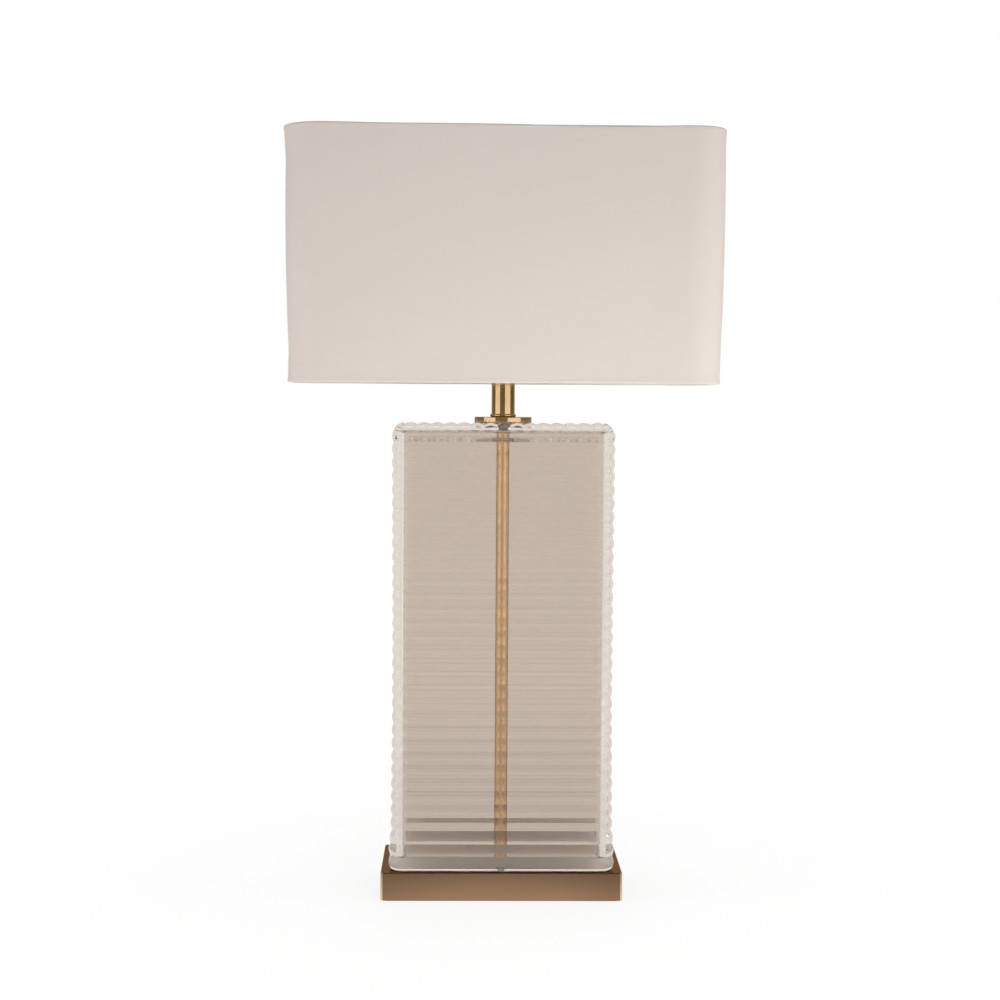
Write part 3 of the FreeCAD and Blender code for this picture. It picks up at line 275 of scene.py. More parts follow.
def plinth_brass():
    """Antique brass: darker towards its upper edge as painted shade, with a painted highlight on
    its upright corners.
    """
    metal = settings("metal")
    light, dark = linear(metal.antique), linear(metal.painted_shade)
    finish = Finish("antique_brass", light, 0.30, 1.0, specular_tint=linear(metal.grazing))
    across, along, height = finish.add("ShaderNodeSeparateXYZ", (0, finish.place)).outputs
    # painted shade: the brass darkens with height, mixed with random clouds of tone
    climb = finish.spread(height, 0.0, 1.0, BASE_LOW.z, BASE_HIGH.z)
    clouds = finish.spread(finish.noise(14.0), -0.10, 0.10)
    toned = finish.blend(finish.maths("ADD", climb, clouds), light, dark, 0.05, 0.95)
    # painted highlight: the upright corners are made brighter, where they would catch the light
    fade, bright = 2.2 * MM, 1.4 * MM
    near_edges = [finish.spread(finish.maths("ABSOLUTE", way), 0.0, 1.0, edge - fade,
                                edge - bright)
                  for way, edge in ((across, BASE_HIGH.x), (along, BASE_HIGH.y))]
    highlighted = finish.maths("MULTIPLY", *near_edges)
    finish.feed("Base Color", finish.overlay(highlighted, toned, linear(metal.wear_and_highlight)))
    brushing = finish.noise(900.0, 2.0, (0.04, 0.04, 1.0))
    finish.feed("Roughness", finish.spread(brushing, 0.18, 0.26))
    finish.bump(brushing, 0.02 * MM)


def polished_brass(name, colour, roughness, rim):
    """Lacquered brass with faint turning marks, and a browner painted shade where it turns away
    from the view.

    rim is how far towards edge-on the painted shade begins, from 0 to 1.
    """
    finish = Finish(name, colour, roughness, 1.0)
    finish.shader.inputs["Specular Tint"].default_value = linear(settings("metal").grazing)
    # a darker tone that drifts at random over the brass, real wear
    wear_and_highlight = scaled(colour, 0.85)
    painted_edge_shade = tuple(channel * share for channel, share in zip(colour, (0.30, 0.22, 0.18))) + (1.0,)
    metal = finish.blend(finish.noise(60.0), wear_and_highlight, colour)
    # painted shade: the brass turns browner where its surface turns away from the view
    edge = finish.add("ShaderNodeLayerWeight", blend=0.5).outputs["Facing"]
    finish.feed("Base Color", finish.overlay(finish.spread(edge, 0.0, 1.0, rim, 1.0),
                                             metal, painted_edge_shade))
    finish.bump(finish.noise(1500.0, 2.0, (0.05, 0.05, 1.0)), 0.01 * MM)


def plain_metal(name, colour, roughness, scale=60.0, shade=0.75):
    """Plated or plain metal whose tone drifts a little."""
    finish = Finish(name, colour, roughness, 1.0)
    finish.wear(colour, scaled(colour, shade), scale)
    finish.bump(finish.noise(700.0), 0.02 * MM)


def ribbed_glass():
    """Pressed glass with a faint warm tint, slightly uneven, its underside ground pale."""
    tint = linear(settings("glass").tint)
    finish = Finish("ribbed_glass", tint, 0.0, transmission_weight=1.0)
    finish.shader.inputs["IOR"].default_value = 1.5
    height = finish.add("ShaderNodeSeparateXYZ", (0, finish.place)).outputs["Z"]
    ground = (GLASS_LOW.z + 0.1 * MM, GLASS_LOW.z + 0.6 * MM)
    finish.feed("Base Color", finish.blend(height, screen(253, 251, 248), tint, *ground))
    finish.feed("Roughness", finish.spread(height, 1.0, 0.0, *ground))
    finish.feed("Transmission Weight", finish.spread(height, 0.0, 1.0, *ground))
    finish.bump(finish.noise(45.0, 2.0, (1, 1, 0.6)), 0.15 * MM, 0.5)


def shade_cloth():
    """Plain woven cloth: warp and weft threads, with slubs and a soft bloom."""
    shade = settings("shade")
    colour = linear(shade.colour)
    finish = Finish("shade_cloth", colour, 0.92, sheen_weight=0.15, sheen_roughness=0.5)
    finish.shader.inputs["Specular IOR Level"].default_value = 0.15
    flat = finish.add("ShaderNodeUVMap").outputs["UV"]
    across, along = finish.add("ShaderNodeSeparateXYZ", (0, flat)).outputs[:2]
    turns = 2 * math.pi / (2 * shade.thread)
    warp = finish.maths("SINE", finish.maths("MULTIPLY", across, turns))
    weft = finish.maths("SINE", finish.maths("MULTIPLY", along, turns))
    weave = finish.maths("MULTIPLY", warp, weft)
    slub_up = finish.noise(1.0, 3.0, (900, 25, 1), flat)
    slub_across = finish.noise(1.0, 3.0, (25, 900, 1), flat)
    slubs = finish.maths("ADD", slub_up, slub_across)
    fade = finish.maths("ADD", finish.spread(slubs, -0.8, 1.8), finish.noise(6.0))
    finish.feed("Base Color", finish.blend(fade, scaled(colour, 0.93), colour, 0.2, 1.2))
    threads = finish.maths("ADD", finish.maths("MULTIPLY", weave, 0.25), slubs)
    finish.bump(threads, 0.12 * MM, 0.6)


def shade_lining():
    """White plastic backing of the shade, seen inside it."""
    finish = Finish("shade_lining", linear(settings("shade").lining), 0.45)
    finish.bump(finish.noise(120.0), 0.05 * MM)


def plain_stuff(name, colour, roughness, grain, depth, **sockets):
    """Plastic, rubber, felt or ceramic with a fine grain."""
    finish = Finish(name, colour, roughness, **sockets)
    marks = finish.noise(grain)
    finish.feed("Base Color", finish.blend(marks, scaled(colour, 0.9), colour))
    finish.bump(marks, depth)


def make_finishes():
    """Makes every finish of the lamp."""
    metal = settings("metal")
    plinth_brass()
    polished_brass("neck_brass", linear(metal.polished), 0.10, 0.65)
    polished_brass("rod_brass", linear(metal.rod), 0.22, 0.45)
    plain_metal("lampholder_brass", screen(206, 178, 128), 0.28)
    plain_metal("contact_brass", screen(222, 196, 130), 0.32)
    plain_metal("zinc_steel", linear(metal.zinc), 0.33, 90.0)
    plain_metal("cast_iron", screen(74, 74, 76), 0.62, 200.0)
    plain_metal("bulb_nickel", screen(214, 210, 204), 0.25)
    plain_metal("bulb_board", screen(226, 228, 228), 0.4)
    plain_stuff("felt", screen(44, 41, 38), 0.97, 1800.0, 0.3 * MM, sheen_weight=0.4)
    plain_stuff("rubber", screen(34, 34, 35), 0.6, 400.0, 0.03 * MM)
    plain_stuff("pale_silicone", screen(248, 245, 240), 0.6, 200.0, 0.02 * MM)
    plain_stuff("nylon", screen(228, 226, 218), 0.4, 150.0, 0.02 * MM)
    ribbed_glass()
    plain_stuff("porcelain", screen(236, 233, 226), 0.18, 80.0, 0.03 * MM,
                coat_weight=0.6, coat_roughness=0.05)
    plain_stuff("bulb_white", screen(238, 238, 236), 0.35, 300.0, 0.02 * MM)
    plain_stuff("bulb_opal", screen(244, 243, 239), 0.3, 60.0, 0.02 * MM)
    plain_stuff("bulb_black_glass", screen(26, 26, 30), 0.08, 50.0, 0.01 * MM)
    shade_cloth()
    shade_lining()
    plain_stuff("shade_wire", screen(232, 230, 224), 0.35, 250.0, 0.03 * MM)


def finish_nodes(slot, *nodes):
    """Gives CAD nodes a finish; their shapes stay as they are."""
    for node in nodes:
        mesh = NODES[node].data
        mesh.materials.clear()
        mesh.materials.append(FINISH[slot])


# ---- shapes
def add_object(name, data):
    """A new object in the scene that holds a mesh, a light or a camera."""
    thing = bpy.data.objects.new(name, data)
    bpy.context.scene.collection.objects.link(thing)
    return thing


def place_mesh(name, points, faces, slots, turn_up=40.0):
    """A new smooth object whose edges sharper than turn_up degrees stay sharp."""
    mesh = bpy.data.meshes.new(name)
    mesh.from_pydata(points, [], faces)
    work = bmesh.new()
    work.from_mesh(mesh)
    bmesh.ops.remove_doubles(work, verts=work.verts, dist=1e-7)
    bmesh.ops.recalc_face_normals(work, faces=work.faces)
    work.to_mesh(mesh)
    work.free()
    mesh.shade_smooth()
    mesh.set_sharp_from_angle(angle=math.radians(turn_up))
    for slot in slots:
        mesh.materials.append(FINISH[slot])
    return add_object(name, mesh)


def stand_for(piece, body, slot, *nodes):
    """Rides a piece on its body, in place of the CAD nodes that it shows better."""
    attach(piece, body)
    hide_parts(*nodes)
    return piece


def rounded(points, steps=4):
    """A closed outline whose corners (x, y, radius) become arcs."""
    result = []
    for place, point in enumerate(points):
        here = Vector(point[:2])
        if len(point) == 2:
            result.append(tuple(here))
            continue
        back = (Vector(points[place - 1][:2]) - here).normalized()
        on = (Vector(points[(place + 1) % len(points)][:2]) - here).normalized()
        half = back.angle(on) / 2
        reach = point[2] / math.tan(half)
        centre = here + (back + on).normalized() * point[2] / math.sin(half)
        start = (here + back * reach) - centre
        turn = start.angle_signed((here + on * reach) - centre)
        for step in range(steps + 1):
            arm = start.copy()
            arm.rotate(Matrix.Rotation(-turn * step / steps, 2))
            result.append(tuple(centre + arm))
    return result


def spun(name, outline, slot, steps=96, ripple=None):
    """A closed outline of (radius, height) spun about the lamp's axis.

    ripple(angle, radius, height) moves a point outwards, as a thread does.
    """
    points = []
    for step in range(steps):
        angle = 2 * math.pi * step / steps
        for radius, height in outline:
            reach = radius + (ripple(angle, radius, height) if ripple else 0.0)
            points.append((reach * math.cos(angle), reach * math.sin(angle), height))
    count = len(outline)
    faces = []
    for step in range(steps):
        start, follow = step * count, (step + 1) % steps * count
        for place in range(count):
            after = (place + 1) % count
            faces.append((start + place, follow + place, follow + after, start + after))
    return place_mesh(name, points, faces, [slot])


def plan_of(half_x, half_y, corner, sides, ends, turns):
    """Points round a rounded rectangle: front, right, back and left side in turn.

    sides and ends hold the fractions at which a long or short side is divided.
    The same fractions give the same points in the same order at every size.
    """
    flat_x, flat_y = half_x - corner, half_y - corner
    result = []

    def bend(centre_x, centre_y, start):
        for step in range(1, turns):
            angle = start + math.pi / 2 * step / turns
            result.append((centre_x + corner * math.cos(angle),
                           centre_y + corner * math.sin(angle)))

    result += [(flat_x * (2 * part - 1), -half_y) for part in sides]
    bend(flat_x, -flat_y, -math.pi / 2)
    result += [(half_x, flat_y * (2 * part - 1)) for part in ends]
    bend(flat_x, flat_y, 0.0)
    result += [(-flat_x * (2 * part - 1), half_y) for part in sides]
    bend(-flat_x, flat_y, math.pi / 2)
    result += [(-half_x, -flat_y * (2 * part - 1)) for part in ends]
    bend(-flat_x, -flat_y, math.pi)
    return result


def add_ring(points, rings, ring):
    """Adds a ring's points to the list, and their places there to the rings."""
    start = len(points)
    points += ring
    rings.append(list(range(start, len(points))))


def bridge(lower, upper):
    """Faces between two closed rings of as many points."""
    count = len(lower)
    return [(lower[place], lower[(place + 1) % count], upper[(place + 1) % count], upper[place])
            for place in range(count)]


def even(count):
    """Evenly spaced fractions from 0 to 1."""
    return [step / count for step in range(count + 1)]


# ---- glass
GLASS_TURNS = 8        # steps round a vertical corner
GLASS_ENDS = 12        # steps along a short side
RIM_STEPS = 5          # steps over the rounding of the top edge, and in the hollow's corners
STEPS_PER_RIB = 10
SWELL_RIBS = 3.0       # ribs over which the foot's swell fades away
FOOT_BEND = 1.2 * MM   # rounding of the foot's lower edge
FOOT_ROWS = (0.3 * MM, 0.7 * MM)    # extra rows of points on that rounding
LEAST_CORNER = 2.5 * MM             # smallest radius of an upright corner
HOLLOW_BEND = 4.0 * MM              # rounding of the hollow's edges, low and high


def rib(distance, pitch, depth, notch=0.14):
    """How far a ribbed face lies back at a distance from a rib's crest."""
    swing = math.cos(math.pi * distance / pitch)
    crest = (math.hypot(swing, notch) - notch) / (math.hypot(1.0, notch) - notch)
    return depth * (1.0 - crest)


def smooth(value):
    """A step from 0 to 1 with soft ends."""
    value = min(max(value, 0.0), 1.0)
    return value * value * (3 - 2 * value)


class GlassShape:
    """The heights and insets of the glass, measured from its foot."""

    def __init__(self):
        sizes = settings("glass")
        self.sizes = sizes
        self.half_x = (GLASS_HIGH.x - GLASS_LOW.x) / 2 - sizes.foot_swell
        self.half_y = (GLASS_HIGH.y - GLASS_LOW.y) / 2 - sizes.foot_swell
        self.tall = GLASS_HIGH.z - GLASS_LOW.z
        self.pitch = self.tall / (sizes.ribs + 0.5)
        self.top_pitch = 2 * (self.half_x - sizes.shoulder) / sizes.top_ribs
        self.sides = even(sizes.top_ribs * STEPS_PER_RIB)
        self.ends = even(GLASS_ENDS)

    def top_at(self, x):
        """The height of the upper face at x, with its ribs and shoulders."""
        sizes = self.sizes
        flat = self.half_x - sizes.shoulder
        if abs(x) > flat:
            drop = sizes.shoulder ** 2 - min(abs(x) - flat, sizes.shoulder) ** 2
            return self.tall - sizes.shoulder + math.sqrt(max(drop, 0.0))
        return self.tall - rib(x, self.top_pitch, sizes.rib_depth)

    def side_inset(self, z):
        """How far the side lies back at a height, with its ribs, waist and foot."""
        sizes = self.sizes
        lean = sizes.waist * math.sin(math.pi * z / self.tall) ** 2
        swell = sizes.foot_swell * smooth(SWELL_RIBS - z / self.pitch)
        low = max(FOOT_BEND - z, 0.0)
        curl = FOOT_BEND - math.sqrt(max(FOOT_BEND ** 2 - low ** 2, 0.0))
        return rib(z - self.pitch / 2, self.pitch, sizes.rib_depth) + lean - swell + curl

    def ring(self, inset, corner=None):
        """The plan at an inset from the outer face."""
        bend = max(self.sizes.corner - inset, LEAST_CORNER) if corner is None else corner
        return plan_of(self.half_x - inset, self.half_y - inset, bend, self.sides, self.ends,
                       GLASS_TURNS)


def glass_outside(shape, points, rings):
    """Rows of points up the ribbed wall and over the rounded rim."""
    sizes = shape.sizes
    split = shape.tall - sizes.shoulder - shape.pitch / 2
    rows = int(split / shape.pitch * STEPS_PER_RIB)
    heights = [split * row / rows for row in range(rows)]
    heights[:1] = [sizes.foot_gap, *FOOT_ROWS]
    for height in heights:
        plan = shape.ring(shape.side_inset(height))
        add_ring(points, rings, [(x, y, height) for x, y in plan])
    upper = 2 * STEPS_PER_RIB
    for row in range(upper + RIM_STEPS + 1):
        ring, plans = [], {}
        for place, (x, y) in enumerate(shape.ring(0.0)):
            top = shape.top_at(x)
            facing = min(abs(y) - (shape.half_y - sizes.corner), sizes.corner) / sizes.corner
            rim = sizes.rim * max(facing, 0.0)
            height = split + (top - rim - split) * min(row / upper, 1.0)
            inset = shape.side_inset(min(height, shape.tall))
            if row > upper:
                angle = math.pi / 2 * (row - upper) / RIM_STEPS
                height = top - rim + rim * math.sin(angle)
                inset = shape.side_inset(top - rim) + rim * (1 - math.cos(angle))
            key = round(inset, 7)
            if key not in plans:
                plans[key] = shape.ring(inset)
            ring.append((*plans[key][place], height))
        add_ring(points, rings, ring)


def cap_faces(points, ring, sides, ends, turns, height_at):
    """Closes a ring with rows that run from front to back, and returns the faces."""
    back_start = sides + turns + ends + turns
    columns = [(len(ring) - step, back_start + sides + step) for step in range(turns - 1, 0, -1)]
    columns += [(place, back_start + sides - place) for place in range(sides + 1)]
    columns += [(sides + step, back_start - step) for step in range(1, turns)]
    right_end = [sides + turns + step for step in range(ends + 1)]
    left_end = [back_start + sides + turns + step for step in range(ends + 1)][::-1]
    lines = [[ring[place] for place in left_end]]
    for low, high in columns:
        start, end = Vector(points[ring[low]]), Vector(points[ring[high]])
        line = [ring[low]]
        for step in range(1, ends):
            spot = start.lerp(end, step / ends)
            line.append(len(points))
            points.append((spot.x, spot.y, height_at(spot.x)))
        line.append(ring[high])
        lines.append(line)
    lines.append([ring[place] for place in right_end])
    faces = []
    for line, after in zip(lines, lines[1:]):
        for step in range(ends):
            faces.append((line[step], after[step], after[step + 1], line[step + 1]))
    return faces


def build_glass():
    """The hollow ribbed glass, with the rod's holes and the disc's flat seat cut in it."""
    shape = GlassShape()
    sizes = shape.sizes
    points, rings = [], []
    glass_outside(shape, points, rings)
    faces = []
    for lower, upper in zip(rings, rings[1:]):
        faces += bridge(lower, upper)
    sides, ends = len(shape.sides) - 1, len(shape.ends) - 1
    faces += cap_faces(points, rings[-1], sides, ends, GLASS_TURNS, shape.top_at)
    faces += cap_faces(points, rings[0], sides, ends, GLASS_TURNS, lambda x: sizes.foot_gap)
    inner = []
    ceiling = shape.tall - sizes.wall
    turns = [math.pi / 2 * step / RIM_STEPS for step in range(RIM_STEPS + 1)]
    bend = [(HOLLOW_BEND * (1 - math.cos(turn)), HOLLOW_BEND * (1 - math.sin(turn)))
            for turn in turns]
    hollow = [(sizes.wall + inset, sizes.floor + rise) for inset, rise in bend[::-1]]
    hollow += [(sizes.wall + inset, ceiling - rise) for inset, rise in bend]
    for inset, height in hollow:
        plan = shape.ring(inset, sizes.inner_corner)
        add_ring(points, inner, [(x, y, height) for x, y in plan])
    for lower, upper in zip(inner, inner[1:]):
        faces += bridge(lower, upper)
    faces += cap_faces(points, inner[0], sides, ends, GLASS_TURNS, lambda x: sizes.floor)
    faces += cap_faces(points, inner[-1], sides, ends, GLASS_TURNS, lambda x: ceiling)
    lifted = [(x, y, z + GLASS_LOW.z) for x, y, z in points]
    glass = place_mesh("ribbed_glass_column", lifted, faces, ["ribbed_glass"], 30.0)
    open_cavity(glass, shape)
    cut_seat(glass, shape)
    return glass


def open_cavity(glass, shape):
    """Turns the faces of the hollow round, so that it is air and not more glass."""
    sizes = shape.sizes
    slack = 0.01 * MM
    reach = shape.half_y - sizes.wall + slack
    low = GLASS_LOW.z + sizes.floor - slack
    high = GLASS_LOW.z + shape.tall - sizes.wall + slack
    work = bmesh.new()
    work.from_mesh(glass.data)
    cavity = [face for face in work.faces
              if all(abs(corner.co.y) < reach and low < corner.co.z < high
                     for corner in face.verts)]
    bmesh.ops.reverse_faces(work, faces=cavity)
    work.to_mesh(glass.data)
    work.free()


def cut_seat(glass, shape):
    """Cuts the rod's holes and the disc's flat seat into the glass."""
    sizes = shape.sizes
    seat = GLASS_LOW.z + shape.tall - sizes.rib_depth
    below, above = GLASS_LOW.z - 10 * MM, seat + 10 * MM
    inside = GLASS_LOW.z + 2 * sizes.floor
    outline = [(0.01 * MM, below), (sizes.foot_hole, below), (sizes.foot_hole, inside),
               (sizes.top_hole, inside), (sizes.top_hole, seat), (sizes.seat, seat),
               (sizes.seat, above), (0.01 * MM, above)]
    cutter = spun("seat_cutter", outline, "ribbed_glass", 128)
    modifier = glass.modifiers.new("seat", "BOOLEAN")
    modifier.operation = "DIFFERENCE"
    modifier.solver = "EXACT"
    modifier.object = cutter
    solid = glass.evaluated_get(bpy.context.evaluated_depsgraph_get())
    mesh = bpy.data.meshes.new_from_object(solid)
    glass.modifiers.clear()
    glass.data = mesh
    mesh.set_sharp_from_angle(angle=math.radians(30.0))
    bpy.data.objects.remove(cutter)


# ---- shade
SHADE_SIDE_STEPS = 60
SHADE_END_STEPS = 24
SHADE_TURNS = 14
SHADE_ROWS = 48
TAUT = 0.3 * MM        # how far the cloth lies inside the solids' own outline
SLACK = 1.2 * MM       # how far the long sides draw in between the corners at the top
WAVE = 0.25 * MM       # slow unevenness of the long sides
WAVES = Vector((9.0, 9.0, 7.0))
LAP_RISE = 0.45 * MM   # how far the seam stands out
LAP_STEP = 0.0004      # width of the seam's step, as a share of a long side


class ShadeShape:
    """The outside of the shade at each height."""

    def __init__(self):
        self.sizes = settings("shade")
        top_low, top_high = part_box("shade_top_trim")
        self.low, self.high = HEM_LOW.z, top_high.z
        self.top = Vector(((top_high.x - top_low.x) / 2, (top_high.y - top_low.y) / 2))
        self.foot = Vector(((HEM_HIGH.x - HEM_LOW.x) / 2, (HEM_HIGH.y - HEM_LOW.y) / 2))
        lap = self.sizes.lap / (2 * (self.top.x - self.sizes.corner))
        steps = [0.5 + way * (lap / 2 + step) for way in (-1, 1) for step in (0.0, LAP_STEP)]
        self.sides = sorted(even(SHADE_SIDE_STEPS) + steps)
        self.ends = even(SHADE_END_STEPS)

    def ring(self, height, inset):
        """The plan at a height, at an inset from the outer face, with its slow waves."""
        part = (height - self.low) / (self.high - self.low)
        half = self.foot.lerp(self.top, part)
        plan = plan_of(half.x - inset, half.y - inset, self.sizes.corner - inset,
                       self.sides, self.ends, SHADE_TURNS)
        swing = math.sin(math.pi * min(max(part, 0.0), 1.0))
        flat = half.x - self.sizes.corner
        result = []
        for x, y in plan:
            end = smooth((abs(x) - flat) / self.sizes.corner)
            bow = self.sizes.belly * swing - TAUT
            if x < 0:
                bow -= self.sizes.pull * (1 - swing) ** 2
            slack = SLACK * part ** 2 * smooth(1 - abs(x) / flat)
            wave = WAVE * noise.noise(Vector((x, y, height)) * WAVES)
            x += math.copysign(bow * end, x)
            y -= math.copysign((slack + wave + TAUT) * (1 - end), y)
            result.append((x, y))
        return result

    def dip(self, x, y, height):
        """How far a point near the upper edge sinks; the back is unlike the front."""
        hollow_at, hollow_reach = 85 * MM, 110 * MM
        crown_at, crown_reach, crown_rise = -165 * MM, 60 * MM, 0.7 * MM
        if y > 0:
            x = 0.8 * x + 30 * MM
        upper = smooth(3.0 * (height - self.low) / (self.high - self.low) - 2.0)
        hollow = smooth(1 - abs(x - hollow_at) / hollow_reach)
        crown = smooth(1 - abs(x - crown_at) / crown_reach)
        return upper * (self.sizes.sag * hollow - crown_rise * crown)


def build_shade():
    """The cloth drum: outside, backing, and a lapped seam at the back."""
    shape = ShadeShape()
    cloth = shape.sizes.cloth
    edge = 0.6 * MM
    low, high = shape.low + edge, shape.high - edge
    heights = [low + (high - low) * row / SHADE_ROWS for row in range(SHADE_ROWS + 1)]
    seam = {place for place, (x, y) in enumerate(shape.ring(low, 0.0))
            if y > 0 and abs(x) <= shape.sizes.lap / 2 * 1.001}
    points, outer, inner, flat = [], [], [], []
    for rings, inset in ((outer, 0.0), (inner, cloth)):
        for height in heights:
            ring = shape.ring(height, inset)
            if inset == 0.0:
                ring = [(x, y + (LAP_RISE if place in seam else 0.0))
                        for place, (x, y) in enumerate(ring)]
            add_ring(points, rings, [(x, y, height - shape.dip(x, y, height)) for x, y in ring])
            flat += run_along(ring, height)
    faces = []
    for rings in (outer, inner):
        for lower, upper in zip(rings, rings[1:]):
            faces += bridge(lower, upper)
    lining_start = len(faces) // 2
    lining_end = len(faces)
    faces += bridge(outer[0], inner[0]) + bridge(outer[-1], inner[-1])
    drum = place_mesh("cloth_drum", points, faces, ["shade_cloth", "shade_lining"], 50.0)
    for polygon in drum.data.polygons:
        if lining_start <= polygon.index < lining_end:
            polygon.material_index = 1
    wrap_cloth(drum, flat)
    return drum, shape


def run_along(ring, height):
    """For each point of a ring, its distance along the ring and its height."""
    result, travelled = [], 0.0
    for place, spot in enumerate(ring):
        if place:
            travelled += (Vector(spot) - Vector(ring[place - 1])).length
        result.append((travelled, height))
    return result


def wrap_cloth(piece, flat):
    """Lays the cloth's threads along and up the piece, at their real size."""
    layer = piece.data.uv_layers.new(name="cloth")
    ring_length = max(spot[0] for spot in flat)
    for polygon in piece.data.polygons:
        spots = [flat[piece.data.loops[loop].vertex_index] for loop in polygon.loop_indices]
        wraps = max(spot[0] for spot in spots) - min(spot[0] for spot in spots) > ring_length / 2
        for loop, (along, height) in zip(polygon.loop_indices, spots):
            if wraps and along < ring_length / 2:
                along += ring_length
            layer.data[loop].uv = (along, height)


def build_hem(name, shape, top):
    """Cloth rolled over the wire at the top or bottom edge, with its crease."""
    way = 1 if top else -1
    edge = shape.high if top else shape.low
    reach, leg, fold, turn, proud = 4.6 * MM, 3.4 * MM, 0.6 * MM, 1.5 * MM, 0.25 * MM
    outside = rounded([(-proud, -leg), (-proud, 0.0, turn), (reach, 0.0, turn),
                       (reach, -leg)], 6)
    inside = rounded([(reach - fold, -leg), (reach - fold, -fold, turn - fold),
                      (fold * 0.2, -fold, turn - fold), (fold * 0.2, -leg)], 6)
    section = outside + inside
    points, rings, flat = [], [], []
    for inset, rise in section:
        height = edge + way * rise
        ring = shape.ring(height, inset)
        add_ring(points, rings, [(x, y, height - shape.dip(x, y, height)) for x, y in ring])
        flat += run_along(ring, rise + inset)
    faces = []
    for place, ring in enumerate(rings):
        faces += bridge(ring, rings[(place + 1) % len(rings)])
    hem = place_mesh(name, points, faces, ["shade_cloth"], 60.0)
    wrap_cloth(hem, flat)
    return hem


# ---- small turned pieces
def thread_ripple(low, high, pitch, depth, radius):
    """A screw thread cut into a radius between two heights."""
    def ripple(angle, reach, height):
        if abs(reach - radius) > 0.05 * MM or not low <= height <= high:
            return 0.0
        turn = (height / pitch - angle / (2 * math.pi)) % 1.0
        fade = smooth(min(height - low, high - height) / pitch)
        return -depth * fade * (0.5 - 0.5 * math.cos(2 * math.pi * turn))
    return ripple


def finely(outline, radius, step=0.3 * MM):
    """The outline with its straight runs at one radius cut short enough for a thread."""
    result = []
    for place, spot in enumerate(outline):
        after = outline[(place + 1) % len(outline)]
        result.append(spot)
        if abs(spot[0] - radius) < 1e-6 and abs(after[0] - radius) < 1e-6:
            count = int(abs(after[1] - spot[1]) / step)
            result += [(radius, spot[1] + (after[1] - spot[1]) * part / count)
                       for part in range(1, count)]
    return result


def build_shell():
    """Lampholder skirt with its shoulder, screw thread and plain mouth."""
    low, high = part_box("lampholder_shell")
    foot, top = low.z, high.z
    shoulder, skirt, mouth, bore = 22.0 * MM, 19.8 * MM, 17.0 * MM, 15.0 * MM
    ledge, neck = foot + 2.0 * MM, foot + 26.0 * MM
    outline = rounded([(bore, foot), (shoulder, foot, 0.4 * MM), (shoulder, ledge, 0.4 * MM),
                       (skirt, ledge), (skirt, neck, 0.3 * MM), (mouth, neck),
                       (mouth, top, 0.7 * MM), (bore, top, 0.7 * MM)])
    return spun("lampholder_skirt", finely(outline, skirt), "lampholder_brass", 96,
                thread_ripple(ledge, neck, 2.0 * MM, 0.7 * MM, skirt))


def build_bulb_cap():
    """Rolled screw cap of the bulb."""
    low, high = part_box("bulb_cap")
    radius, sheet_wall = high.x, 0.5 * MM
    inner, ring = radius - sheet_wall, 4.5 * MM
    start, end = low.z + 1.5 * MM, high.z - 3.0 * MM
    outline = [(ring, low.z), (radius - 2.0 * MM, low.z), (radius - 0.6 * MM, low.z + 0.8 * MM),
               (radius, start), (radius, high.z), (inner, high.z), (inner, start),
               (radius - 2.0 * MM, low.z + sheet_wall), (ring, low.z + sheet_wall)]
    pitch, depth = 3.6 * MM, 0.9 * MM
    outer = thread_ripple(start, end, pitch, depth, radius)
    inside = thread_ripple(start, end, pitch, depth, inner)
    return spun("bulb_screw_cap", finely(finely(outline, radius), inner), "bulb_nickel", 96,
                lambda angle, reach, height: outer(angle, reach, height)
                + inside(angle, reach, height))


# ---- operators
class DressGlass(bpy.types.Operator):
    """Build the ribbed glass column"""
    bl_idname = "lamp.dress_glass"
    bl_label = "Ribbed Glass"

    def execute(self, context):
        stand_for(build_glass(), "lamp", "ribbed_glass", "glass_body")
        return {"FINISHED"}


class DressShade(bpy.types.Operator):
    """Build the cloth shade with its rolled edges"""
    bl_idname = "lamp.dress_shade"
    bl_label = "Cloth Shade"

    def execute(self, context):
        drum, shape = build_shade()
        stand_for(drum, "shade", "shade_cloth", "shade_panel")
        top = stand_for(build_hem("top_rolled_edge", shape, True), "shade", "shade_cloth",
                        "shade_top_trim")
        bottom = stand_for(build_hem("bottom_rolled_edge", shape, False), "shade", "shade_cloth",
                           "shade_bottom_trim")
        finish_nodes("shade_wire", "shade_top_ring", "shade_bottom_ring", "shade_spider_arms",
                     "shade_fitter_ring")
        return {"FINISHED"}


class DressBase(bpy.types.Operator):
    """Finish the plinth and what it holds"""
    bl_idname = "lamp.dress_base"
    bl_label = "Plinth"

    def execute(self, context):
        finish_nodes("antique_brass", "base_plinth")
        finish_nodes("felt", "base_felt_pad")
        finish_nodes("cast_iron", "base_weight")
        finish_nodes("rubber", "inlet_grommet")
        finish_nodes("pale_silicone", "lower_gasket")
        finish_nodes("zinc_steel", "base_cover", "base_cover_screws", "bottom_washer",
                     "bottom_lock_washer", "bottom_nut")
        return {"FINISHED"}


class DressNeck(bpy.types.Operator):
    """Finish the rod, disc, collar and neck"""
    bl_idname = "lamp.dress_neck"
    bl_label = "Rod and Neck"

    def execute(self, context):
        finish_nodes("rod_brass", "rod_sleeve")
        finish_nodes("nylon", "glass_centring_bush")
        finish_nodes("pale_silicone", "upper_gasket")
        finish_nodes("neck_brass", "top_disc", "neck_collar", "neck_tube", "neck_plug")
        finish_nodes("zinc_steel", "threaded_rod", "neck_washer")
        finish_nodes("contact_brass", "neck_nut")
        return {"FINISHED"}


